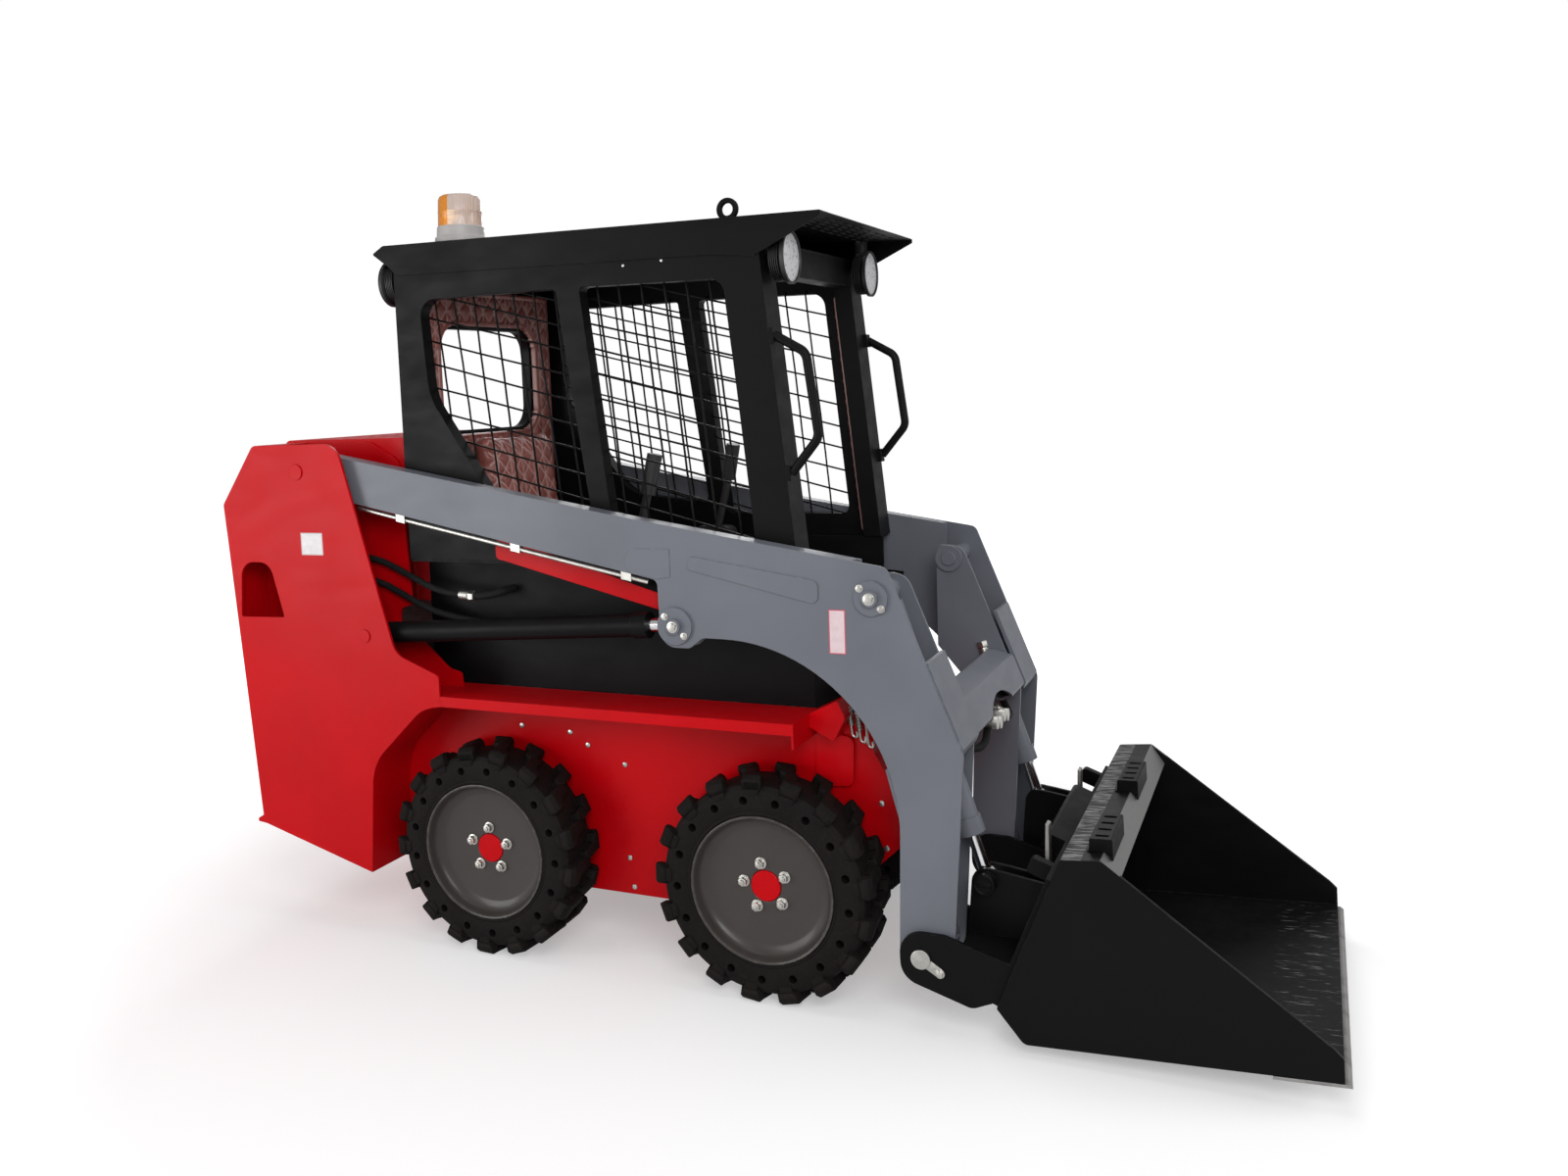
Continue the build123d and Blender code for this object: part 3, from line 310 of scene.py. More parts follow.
def finishMesh(name, bm, body, materials, sharpAngle=35, clean=True):
    if clean:
        joinClose(bm)
    mesh = meshFrom(name, bm)
    for mat in materials if isinstance(materials, (list, tuple)) else [materials]:
        mesh.materials.append(mat)
    for polygon in mesh.polygons:
        polygon.use_smooth = True
    mesh.set_sharp_from_angle(angle=math.radians(sharpAngle))
    piece = addObject(name, mesh)
    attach(piece, body)
    return piece


def along(start, end):
    run = Vector(end) - Vector(start)
    turn = run.to_track_quat("Z", "Y").to_matrix().to_4x4()
    return Matrix.Translation((Vector(start) + Vector(end)) / 2) @ turn, run.length


def bevelAll(bm, edges, width, segments=2):
    return bmesh.ops.bevel(bm, geom=edges, offset=width, offset_type="OFFSET", segments=segments, profile=0.5,
                           affect="EDGES", material=-1)["verts"]


def edgesOf(verts):
    return list({e for v in verts for e in v.link_edges})


def extruded(bm, faces, kind=bmesh.types.BMVert):
    made = bmesh.ops.extrude_face_region(bm, geom=faces)
    return [g for g in made["geom"] if isinstance(g, kind)]


def addRod(bm, start, end, radius, sides=20, tip=None, edge=0.0):
    place, length = along(start, end)
    made = bmesh.ops.create_cone(bm, cap_ends=True, segments=sides, radius1=radius,
                                 radius2=radius if tip is None else tip, depth=length, matrix=place)
    if edge:
        # only the rims, where a cap of many corners meets a side of four
        rims = {e for v in made["verts"] for e in v.link_edges if len(e.link_faces) == 2
                and any(len(f.verts) > 4 for f in e.link_faces)
                and any(len(f.verts) == 4 for f in e.link_faces)}
        bevelAll(bm, list(rims), edge)
    return made["verts"]


def addBlock(bm, low, high, edge=0.0, turn=None):
    size = [b - a for a, b in zip(low, high)]
    centre = [(a + b) / 2 for a, b in zip(low, high)]
    place = Matrix.Translation(centre) @ (turn or Matrix.Identity(4)) @ Matrix.Diagonal((*size, 1))
    made = bmesh.ops.create_cube(bm, size=1, matrix=place)
    if edge:
        bevelAll(bm, edgesOf(made["verts"]), edge)
    return made["verts"]


def addHex(bm, start, end, radius, edge=0.0012):
    return addRod(bm, start, end, radius, 6, edge=edge)


def addTurned(bm, rows, centre, axis=(0, 1, 0), steps=64):
    # rows are (distance along the axis, radius), spun once round it
    axis = Vector(axis).normalized()
    side = axis.orthogonal().normalized()
    points = [bm.verts.new(Vector(centre) + axis * a + side * r) for a, r in rows]
    edges = [bm.edges.new((a, b)) for a, b in zip(points, points[1:])]
    bmesh.ops.spin(bm, geom=points + edges, cent=centre, axis=axis, angle=2 * math.pi, steps=steps,
                   use_merge=True)


def addOutline(bm, rows, low, high, edge=0.0):
    # rows are (x, z) of a side view, extruded from one y to the other
    corners = [bm.verts.new((x, low, z)) for x, z in rows]
    top = extruded(bm, [bm.faces.new(corners)])
    bmesh.ops.translate(bm, verts=top, vec=(0, high - low, 0))
    if edge:
        bevelAll(bm, edgesOf(corners + top), edge)


def roundedRows(rows, steps=6):
    # rows are (x, z, corner radius), each corner becomes a short arc
    out = []
    for i, (x, z, radius) in enumerate(rows):
        here = Vector((x, z))
        back = (Vector(rows[i - 1][:2]) - here).normalized()
        on = (Vector(rows[(i + 1) % len(rows)][:2]) - here).normalized()
        half = back.angle(on) / 2
        if radius <= 0 or abs(half - math.pi / 2) < 0.01:
            out.append((x, z))
            continue
        reach = radius / math.tan(half)
        middle = here + (back + on).normalized() * radius / math.sin(half)
        first, last = here + back * reach - middle, here + on * reach - middle
        sweep = first.angle_signed(last)
        for k in range(steps + 1):
            turned = Matrix.Rotation(-sweep * k / steps, 2) @ first
            out.append(tuple(middle + turned))
    return out


def addTube(bm, points, radius, sides=10, smooth=True):
    curve = bpy.data.curves.new("route", "CURVE")
    curve.dimensions = "3D"
    curve.bevel_depth = radius
    curve.bevel_resolution = max(1, sides // 4 - 1)
    curve.use_fill_caps = True
    curve.resolution_u = 8
    spline = curve.splines.new("NURBS" if smooth else "POLY")
    spline.points.add(len(points) - 1)
    for point, where in zip(spline.points, points):
        point.co = (*where, 1)
    if smooth:
        spline.order_u = 3
        spline.use_endpoint_u = True
    holder = addObject("route", curve)
    mesh = meshNow(holder)
    bpy.data.objects.remove(holder)
    bpy.data.curves.remove(curve)
    bm.from_mesh(mesh)
    bpy.data.meshes.remove(mesh)


def mirroredY(point, side):
    return (point[0], point[1] * side, point[2])


# Tyres: solid rubber, a row of side holes and hooked lugs from either shoulder.

tyreSize = {"radius": 0.286, "width": 0.145, "bead": 0.1845, "lugs": 17, "groove": 0.262,
            "holeRadius": 0.0105, "holeCircle": 0.2225, "holeDepth": 0.030, "centreZ": 0.286,
            "lugEdge": 0.0022, "footEdge": 0.0030, "footX": -0.006, "footRadius": 0.254,
            "foot": (0.050, 0.0180, 0.036), "footNarrow": 0.72}


def buildCarcass(size):
    half, bead, groove = size["width"] / 2, size["bead"], size["groove"]
    side = [(half - 0.014, bead), (half - 0.006, bead + 0.001), (half - 0.0045, bead + 0.005),
            (half - 0.0065, bead + 0.009), (half - 0.0035, bead + 0.014), (half - 0.0035, groove - 0.022),
            (half - 0.0060, groove - 0.014), (half - 0.013, groove - 0.004), (half - 0.026, groove)]
    rows = side + [(0, groove + 0.002)] + [(-a, r) for a, r in reversed(side)]
    rows.append(rows[0])
    bm = bmesh.new()
    addTurned(bm, rows, (0, 0, 0), (0, 1, 0), size["lugs"] * 6)
    joinClose(bm)
    return meshFrom("carcass", bm)


def drillHoles(mesh, size):
    bm = bmesh.new()
    half, depth = size["width"] / 2, size["holeDepth"]
    for i in range(size["lugs"]):
        for side in (-1, 1):
            turn = 2 * math.pi * (i + (0.5 if side > 0 else 0.0)) / size["lugs"]
            x, z = size["holeCircle"] * math.cos(turn), size["holeCircle"] * math.sin(turn)
            addRod(bm, (x, side * (half - depth), z), (x, side * (half + 0.01), z), size["holeRadius"], 16)
    body = addObject("carcass", mesh)
    tool = addObject("cutter", meshFrom("cutter", bm))
    cut = body.modifiers.new("holes", "BOOLEAN")
    cut.operation = "DIFFERENCE"
    cut.solver = "EXACT"
    cut.object = tool
    done = meshNow(body)
    for obj in (body, tool):
        bpy.data.objects.remove(obj)
    return done


def addLug(bm, size, turn, side):
    # a hooked plan, raised in three levels so that the block leans over the shoulder
    half = size["width"] / 2
    plan = [(-0.032, half), (0.020, half), (0.023, half - 0.028), (0.033, 0.010), (0.024, -0.008),
            (0.004, -0.006), (-0.006, half - 0.040), (-0.030, half - 0.026)]
    levels = ((size["groove"] - 0.012, 1.06, 0.0), (size["groove"] - 0.010, 1.04, 0.0),
              (size["radius"] - 0.012, 1.0, 0.0), (size["radius"] - 0.0012, 0.90, 0.010))
    corners = [bm.verts.new((x, y, 0)) for x, y in plan]
    ring = [bm.faces.new(corners)]
    rings = [list(corners)]
    for _ in levels[1:]:
        ring = extruded(bm, ring, bmesh.types.BMFace)
        rings.append(list(ring[0].verts))
    everything = []
    for verts, (height, scale, lean) in zip(rings, levels):
        for v in verts:
            v.co.x *= scale
            if v.co.y > half - 0.001:
                v.co.y -= lean
            v.co.z = height
            everything.append(v)
    # the foot is a block on the shoulder, narrower towards the bead
    footX, footRadius = size["footX"], size["footRadius"]
    place = Matrix.Translation((footX, half - size["foot"][1] / 2, footRadius))
    foot = bmesh.ops.create_cube(bm, size=1, matrix=place @ Matrix.Diagonal((*size["foot"], 1)))["verts"]
    for v in foot:
        if v.co.z < footRadius:
            v.co.x = footX + (v.co.x - footX) * size["footNarrow"]
    for group, width in ((everything, size["lugEdge"]), (foot, size["footEdge"])):
        made = bevelAll(bm, edgesOf(group), width)
        group[:] = [v for v in group if v.is_valid] + [v for v in made if v.is_valid]
    for v in set(everything + foot):
        angle = turn + v.co.x * side / size["radius"]
        radius = v.co.z
        v.co = Vector((radius * math.sin(angle), v.co.y * side, radius * math.cos(angle)))


def buildTyre(size):
    mesh = drillHoles(buildCarcass(size), size)
    bm = bmesh.new()
    bm.from_mesh(mesh)
    bpy.data.meshes.remove(mesh)
    pitch = 2 * math.pi / size["lugs"]
    for i in range(size["lugs"]):
        addLug(bm, size, pitch * i, 1)
        addLug(bm, size, pitch * (i + 0.5), -1)
    bmesh.ops.recalc_face_normals(bm, faces=bm.faces)
    return bm


tyreForm = buildTyre(tyreSize)


# Rims, hubs and wheel nuts.

rimSize = {"radius": 0.184, "half": 0.0695, "disc": 0.032, "plate": 0.008, "hole": 0.0395, "steps": 96}
nutSize = {"circle": 0.05715, "count": 5, "washer": 0.0150, "thin": 0.0030, "hex": 0.0115, "height": 0.013,
           "stud": 0.0062, "studEnd": 0.0205}
hubSize = {"pipe": 0.030, "flange": 0.078, "boss": 0.039}
wheelTurn = {"front": 0.11, "rear": 0.02}
nutTurn = {"front": 0.2, "rear": 0}


def rimRows(size):
    r, half, disc, hole = size["radius"], size["half"], size["disc"], size["hole"]
    inner = disc - size["plate"]
    return [(inner, hole), (inner, r - 0.036), (disc - 0.016, r - 0.012), (-half + 0.012, r - 0.010),
            (-half + 0.003, r - 0.004), (-half, r - 0.001), (-half, r - 0.0002), (-half + 0.004, r),
            (half - 0.004, r), (half, r - 0.0006), (half + 0.0006, r - 0.003), (half - 0.001, r - 0.0065),
            (half - 0.006, r - 0.009), (half - 0.014, r - 0.0105), (half - 0.022, r - 0.013),
            (half - 0.028, r - 0.018), (half - 0.032, r - 0.026), (disc + 0.0016, r - 0.033),
            (disc, r - 0.039), (disc, hole + 0.001), (disc - 0.001, hole), (inner, hole)]


def hubRows(size, disc, inner, start):
    pipe, flange, boss = size["pipe"], size["flange"], size["boss"]
    return [(start, 0), (start, pipe), (-0.001, pipe), (-0.001, flange), (inner, flange), (inner, boss),
            (disc + 0.0015, boss - 0.0005), (disc + 0.003, boss - 0.0025), (disc + 0.0032, 0)]


def wheelParts(where, name, side):
    low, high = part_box(f"tyre_{where}_{name}")
    centre = Vector(((low.x + high.x) / 2, (low.y + high.y) / 2, tyreSize["centreZ"]))
    body = f"wheel_{where}_{name}"
    bm = tyreForm.copy()
    turn = Matrix.Rotation(wheelTurn[where], 4, "Y")
    bmesh.ops.transform(bm, matrix=Matrix.Translation(centre) @ turn, verts=bm.verts)
    tyre = finishMesh(f"tyre_{where}_{name}_lugged", bm, body, tyreRubber, 32, clean=False)
    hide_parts(f"tyre_{where}_{name}")
    bm = bmesh.new()
    addTurned(bm, rimRows(rimSize), centre, (0, side, 0), rimSize["steps"])
    rim = finishMesh(f"rim_{where}_{name}_pressed", bm, body, rimPaint, 28)
    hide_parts(f"rim_{where}_{name}")
    disc = rimSize["disc"]
    low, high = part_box(f"hub_{where}_{name}")
    start = min(abs(low.y), abs(high.y)) - abs(centre.y)
    bm = bmesh.new()
    addTurned(bm, hubRows(hubSize, disc, disc - rimSize["plate"], start), centre, (0, side, 0), 48)
    hub = finishMesh(f"hub_{where}_{name}_turned", bm, body, redPaint, 30)
    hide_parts(f"hub_{where}_{name}")
    bm = bmesh.new()
    for i in range(nutSize["count"]):
        angle = 2 * math.pi * (i + 0.25) / nutSize["count"] + nutTurn[where]
        x = centre.x + nutSize["circle"] * math.cos(angle)
        z = centre.z + nutSize["circle"] * math.sin(angle)

        def at(out):
            return (x, centre.y + side * (disc + out), z)
        thin = nutSize["thin"]
        addRod(bm, at(0.0001), at(thin), nutSize["washer"], 24, edge=0.0007)
        addHex(bm, at(thin), at(thin + nutSize["height"]), nutSize["hex"], 0.0016)
        addRod(bm, at(-0.006), at(nutSize["studEnd"]), nutSize["stud"], 14, edge=0.0010)
    nuts = finishMesh(f"wheel_nuts_{where}_{name}", bm, body, zincSteel, 30)


for where in ("front", "rear"):
    for name, side in rightAndLeft:
        wheelParts(where, name, side)
tyreForm.free()
print("stage: wheels")


# Window guards: round wires welded crosswise behind each window.

guardSize = {"wire": 0.0028, "pitch": 0.062, "crossing": 0.0021, "inwards": 0.0021, "reach": 0.010,
             "skew": (0.10, 0.26), "point": 0.035, "weave": (0.0006, 60), "wander": (0.0012, 9, 1.7)}
windowOutlines = {"rear": [(-0.779, 1.757, 0.045), (-0.357, 1.757, 0.012), (-0.275, 1.150, 0.020),
                           (-0.547, 1.180, 0.120), (-0.762, 1.500, 0.160)],
                  "front": [(-0.289, 1.757, 0.012), (0.105, 1.750, 0.040), (0.167, 1.120, 0.020),
                            (-0.217, 1.120, 0.020)]}


def spanInside(rows, axis, value):
    hits = []
    for a, b in zip(rows, rows[1:] + rows[:1]):
        if (a[axis] - value) * (b[axis] - value) < 0:
            share = (value - a[axis]) / (b[axis] - a[axis])
            hits.append(a[1 - axis] + share * (b[1 - axis] - a[1 - axis]))
    return (min(hits), max(hits)) if len(hits) >= 2 else None


def wirePoints(axis, value, line, span, plane, size):
    # one wire, which weaves in and out and wanders a little along its length
    low, high = span[0] - size["reach"], span[1] + size["reach"]
    count = max(3, int((high - low) / size["point"]))
    weave, turns = size["weave"]
    wander, bends, shift = size["wander"]
    points = []
    for k in range(count + 1):
        t = low + (high - low) * k / count
        offset = size["crossing"] * (1 if axis else -1) + weave * math.sin(t * turns + line)
        across = value - size["skew"][axis] * t + wander * math.sin(t * bends + line * shift)
        x, z = (across, t) if axis == 0 else (t, across)
        points.append((x, plane + offset, z))
    return points


def addGuard(bm, rows, plane, size):
    # the mesh was cut askew: each wire drops a little towards the front, each upright leans back
    for axis in (0, 1):
        skew = size["skew"][axis]
        slanted = [(x + skew * z, z) if axis == 0 else (x, z + skew * x) for x, z in rows]
        values = [r[axis] for r in slanted]
        value = min(values) + size["pitch"] / 2
        line = 0
        while value < max(values):
            span = spanInside(slanted, axis, value)
            if span:
                addTube(bm, wirePoints(axis, value, line, span, plane, size), size["wire"], 8, smooth=False)
            value += size["pitch"]
            line += 1


def buildGuards(size):
    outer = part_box("window_guards")[1].y
    bm = bmesh.new()
    for side in (-1, 1):
        plane = side * (outer - size["inwards"])
        for rows in windowOutlines.values():
            addGuard(bm, roundedRows(rows), plane, size)
    guards = finishMesh("window_guard_wires", bm, "chassis", guardPaint, 50, clean=False)
    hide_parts("window_guards")


buildGuards(guardSize)
print("stage: window guards")


# Quilted lining on the rear wall, with slanting seams and a bound edge round the window.

liningSize = {"step": 0.005, "cell": 0.060, "seam": 0.010, "slant": 0.707, "fullness": 0.7, "swell": 0.0080,
              "lift": 0.0015, "thick": 0.012, "border": 0.016, "borderSwell": 0.9, "holeZ": 1.546,
              "holeFlat": (0.171, 0.077), "holeCorner": 0.075}
padSize = {"y": 0.318, "z": 1.405, "wide": 0.028, "tall": 0.66, "columns": 14, "lines": 116, "slender": 23,
           "edge": 0.12, "squeeze": 1.6, "swell": 0.006, "pillarX": 0.195, "pillarTop": 1.830,
           "pillarLean": 0.1013, "front": 0.056, "back": 0.0505}


def quiltHeight(y, z, size):
    # crossed slanting seams in columns parted by upright ones
    cell = size["cell"]
    rising = abs(((y + z) / cell) % 1.0 - 0.5) * size["slant"]
    falling = abs(((y - z) / cell) % 1.0 - 0.5) * size["slant"]
    upright = abs((y / cell) % 1.0 - 0.5)
    return min(1.0, min(rising, falling, upright) * cell / size["seam"]) ** size["fullness"]


def toHole(y, z, size):
    # how far a place lies outside the round-cornered window hole, negative inside it
    flatY, flatZ = size["holeFlat"]
    cornered = math.hypot(max(0, abs(y) - flatY), max(0, abs(z - size["holeZ"]) - flatZ))
    return cornered - size["holeCorner"] if cornered > 0 else -1


def buildLining(size):
    low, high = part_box("cab_liner")
    front = low.x + size["lift"]
    bm = bmesh.new()
    wide, tall = high.y - low.y, high.z - low.z
    columns, lines = int(wide / size["step"]), int(tall / size["step"])
    bmesh.ops.create_grid(bm, x_segments=columns, y_segments=lines, size=0.5)
    quilt = bm.verts.layers.float.new("quilt")
    doomed = []
    for v in bm.verts:
        y, z = v.co.x * wide, (low.z + high.z) / 2 + v.co.y * tall
        outside = toHole(y, z, size)
        rim = min(high.y - abs(y), z - low.z, high.z - z, outside)
        height = quiltHeight(y, z, size)
        if rim < size["border"]:
            height = math.sin(max(0.0, min(1.0, rim / size["border"])) * math.pi) * size["borderSwell"]
        v[quilt] = height
        v.co = Vector((front + size["thick"] + size["swell"] * height, y, z))
        if outside < -0.002:
            doomed.append(v)
    bmesh.ops.delete(bm, geom=doomed, context="VERTS")
    for v in extruded(bm, bm.faces[:]):
        v.co.x = front
    lining = finishMesh("cab_lining_quilted", bm, "chassis", quiltedVinyl, 60)
    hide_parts("cab_liner")


# the seam colour is a painted highlight along the seams
quiltLook = {"dark": (0.21, 0.050, 0.040), "light": (0.33, 0.095, 0.075), "seam": (0.66, 0.42, 0.38),
             "cloudScale": 18, "poreScale": 520, "poreDepth": 0.0003, "gloss": 0.6}


def quiltMaterial(look):
    mat, tree, shader = startMaterial("quilted red-brown vinyl", (0.25, 0.07, 0.055), 0.34)
    swell = addNode(tree, "Attribute", attribute_name="quilt").outputs["Fac"]
    cloudy = grain(tree, look["cloudScale"], 5)
    pores = cellsOf(tree, look["poreScale"], feature="DISTANCE_TO_EDGE")
    body = blendColour(tree, contrast(tree, cloudy), look["dark"], look["light"])
    # the seams lie lowest; their paler colour is a painted highlight along them
    body = blendColour(tree, spread(tree, swell, 0.05, 0.55, 0.9, 0.0), body, look["seam"])
    feed(shader, {"Base Color": body, "Roughness": contrast(tree, cloudy, 0.33, 0.5),
                  "Specular IOR Level": look["gloss"]})
    bumpOn(tree, shader, spread(tree, pores, 0.0, 0.15), 0.2, look["poreDepth"])
    return mat


quiltedVinyl = quiltMaterial(quiltLook)
buildLining(liningSize)


# Narrow quilted strips beside the front opening, set against the front pillars.

def pillarX(z, size):
    # the front pillars lean back as they rise
    return size["pillarX"] + (size["pillarTop"] - z) * size["pillarLean"]


def buildPillarPads(size):
    bm = bmesh.new()
    quilt = bm.verts.layers.float.new("quilt")
    for side in (-1, 1):
        made = bmesh.ops.create_grid(bm, x_segments=size["columns"], y_segments=size["lines"], size=0.5)
        fresh = set(made["verts"])
        for v in fresh:
            y, z = side * (size["y"] + v.co.x * size["wide"]), size["z"] + v.co.y * size["tall"]
            edge = min(0.5 - abs(v.co.x), (0.5 - abs(v.co.y)) * size["slender"]) / size["edge"]
            height = quiltHeight(y * size["squeeze"], z, liningSize) if edge > 1 else edge
            v[quilt] = height
            v.co = Vector((pillarX(z, size) - size["front"] - size["swell"] * height, y, z))
        for v in extruded(bm, [f for f in bm.faces if f.verts[0] in fresh]):
            v.co.x = pillarX(v.co.z, size) - size["back"]
    pads = finishMesh("pillar_pads_quilted", bm, "chassis", quiltedVinyl, 60)


buildPillarPads(padSize)
print("stage: quilted lining")


# Seat: crowned cushion and back, blown up as cloth and quilted like the lining.

seatSize = {"voxel": 0.0095, "pressure": 4.0, "frames": 20, "cap": 0.014, "shrink": 0.012, "tuft": 0.006,
            "roll": 0.030, "backInset": 0.012, "backThin": 0.62, "backLean": 0.105, "backForward": 0.036,
            "sunk": 0.004, "proud": 0.006}


def blowUp(bm, size):
    pad = addObject("pad", meshFrom("pad", bm))
    for other in bpy.context.selected_objects:
        other.select_set(False)
    bpy.context.view_layer.objects.active = pad
    pad.select_set(True)
    remesh = pad.modifiers.new("voxels", "REMESH")
    remesh.mode = "VOXEL"
    remesh.voxel_size = size["voxel"]
    base = meshNow(pad)
    pad.modifiers.clear()
    pad.data = base
    rest = [v.co.copy() for v in base.vertices]
    cloth = pad.modifiers.new("cloth", "CLOTH")
    cloth.settings.use_pressure = True
    cloth.settings.uniform_pressure_force = size["pressure"]
    cloth.settings.effector_weights.gravity = 0
    cloth.point_cache.frame_start = 1
    cloth.point_cache.frame_end = size["frames"]
    for step in range(1, size["frames"] + 1):
        scene.frame_set(step)
    base = meshNow(pad)
    scene.frame_set(1)
    out = bmesh.new()
    out.from_mesh(base)
    out.verts.ensure_lookup_table()
    for v, was in zip(out.verts, rest):
        moved = v.co - was
        if moved.length > size["cap"]:
            v.co = was + moved.normalized() * size["cap"]
    bpy.data.objects.remove(pad)
    bmesh.ops.smooth_vert(out, verts=out.verts, factor=0.5, use_axis_x=True, use_axis_y=True, use_axis_z=True)
    return out


def seatPad(name, node, size):
    low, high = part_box(node)
    inset = size["shrink"]
    bm = bmesh.new()
    addBlock(bm, (low.x + inset, low.y + inset, low.z + inset * 0.3),
             (high.x - inset, high.y - inset, high.z - inset))
    bevelAll(bm, bm.edges[:], size["roll"], 4)
    if node == "seat_back":
        for v in bm.verts:
            thin, lean = (v.co.x - low.x - inset) * size["backThin"], (v.co.z - low.z) * size["backLean"]
            v.co.x = low.x + inset + size["backInset"] + thin - lean + size["backForward"]
    out = blowUp(bm, size)
    bmesh.ops.subdivide_edges(out, edges=out.edges[:], cuts=1, use_grid_fill=True, smooth=0.6)
    out.normal_update()
    quilt = out.verts.layers.float.new("quilt")
    flat = node == "seat_cushion"
    moves = []
    for v in out.verts:
        facing = max(0.0, v.normal.z if flat else v.normal.x)
        height = quiltHeight(v.co.y, v.co.x if flat else v.co.z, liningSize)
        v[quilt] = height if facing > 0.5 else 1.0
        moves.append(v.normal * size["tuft"] * (height - 1) * min(1.0, facing * 1.6))
    for v, move in zip(out.verts, moves):
        v.co += move
        for k in range(3):
            v.co[k] = min(max(v.co[k], low[k] - size["sunk"]), high[k] + size["proud"])
    piece = finishMesh(name, out, "chassis", quiltedVinyl, 70)
    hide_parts(node)


seatPad("seat_cushion_sewn", "seat_cushion", seatSize)
seatPad("seat_back_sewn", "seat_back", seatSize)
print("stage: seat")


# Work lamps: a finned drum with a dimpled pale lens.

lampSize = {"radius": 0.063, "lens": 0.056, "depth": 0.048, "fins": 5, "finPitch": 0.005, "finThick": 0.002,
            "bracket": (0.012, 0.020), "pins": (-0.028, 0.028), "pinReach": 0.006, "pinZ": 0.050}


def lensMaterial():
    mat, tree, shader = startMaterial("pale dimpled lens", (0.52, 0.52, 0.53), 0.28)
    # the colour is darkest at each dimple's centre, where the bump sinks: painted shade in the dimples
    dots = spread(tree, cellsOf(tree, 88), 0.10, 0.42)
    feed(shader, {"Base Color": blendColour(tree, dots, (0.30, 0.30, 0.31), (0.60, 0.60, 0.61)),
                  "Roughness": contrast(tree, grain(tree, 30), 0.2, 0.4)})
    bumpOn(tree, shader, dots, 0.6, 0.0015)
    return mat


lampLens = lensMaterial()


def buildLamp(bm, lensBm, centre, ahead, size):
    r, depth = size["radius"], size["depth"]
    rows = [(-depth, 0), (-depth, r * 0.55), (-depth + 0.004, r * 0.62)]
    for k in range(size["fins"]):
        spot = -depth + 0.008 + k * size["finPitch"]
        end = spot + size["finThick"]
        rows += [(spot, r * 0.70), (spot, r * 0.88), (end, r * 0.88), (end, r * 0.70)]
    rows += [(-0.012, r * 0.94), (-0.010, r - 0.001), (-0.001, r), (0.0, r - 0.0015), (0.0, r - 0.005),
             (-0.004, size["lens"] + 0.0005)]
    addTurned(bm, rows, centre, ahead, 56)
    lens = [(-0.0045, size["lens"] + 0.001), (-0.0035, size["lens"] - 0.004), (-0.0015, size["lens"] * 0.6),
            (-0.0010, 0)]
    addTurned(lensBm, lens, centre, ahead, 48)


def buildLamps(node, name, ahead, size):
    low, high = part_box(node)
    front = high.x if ahead[0] > 0 else low.x
    bm, lensBm = bmesh.new(), bmesh.new()
    z = low.z + size["radius"]
    for side in (-1, 1):
        y = side * (high.y - size["radius"])
        buildLamp(bm, lensBm, (front, y, z), ahead, size)
        back = front - ahead[0] * size["depth"] * 0.6
        deep, wide = size["bracket"]
        addBlock(bm, (back - deep, y - wide, z + size["radius"] * 0.6), (back + deep, y + wide, high.z),
                 0.002)
        for spot in size["pins"]:
            pin = Vector((back, y + spot, z + size["pinZ"]))
            reach = Vector((size["pinReach"], 0, 0))
            addRod(bm, pin - reach, pin + reach, size["pinReach"], 12)
    body = finishMesh(name + "_housing", bm, "chassis", lampPlastic, 30)
    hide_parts(node)
    finishMesh(name + "_lens", lensBm, "chassis", lampLens, 40)


buildLamps("work_lights", "work_light", (1, 0, 0), lampSize)
buildLamps("rear_lamps", "rear_lamp", (-1, 0, 0), lampSize)


# Beacon: a pale foot, and a ribbed dome that is half amber and half clear.

def domeMaterial(name, colour, through):
    mat, tree, shader = startMaterial(name, colour, 0.12)
    ribs = addNode(tree, "TexWave", {"Vector": placeOf(tree), "Scale": 95, "Distortion": 0.0},
                   bands_direction="X").outputs["Fac"]
    tint = spread(tree, ribs, 0.2, 0.8, 0.0, 0.45)
    feed(shader, {"Base Color": blendColour(tree, tint, colour, scaled(colour, 0.6)),
                  "Roughness": contrast(tree, grain(tree, 40), 0.10, 0.22),
                  "Transmission Weight": through, "IOR": 1.49})
    bumpOn(tree, shader, ribs, 0.25, 0.0008)
    return mat


amberDome = domeMaterial("amber dome", (0.85, 0.30, 0.015), 0.25)
clearDome = domeMaterial("clear dome", (0.80, 0.74, 0.72), 0.45)
paleFoot = plasticMaterial("pale grey foot plastic", (0.42, 0.40, 0.39), 0.45)
beaconSize = {"lift": 0.002, "lean": 0.0178, "split": 0.002}


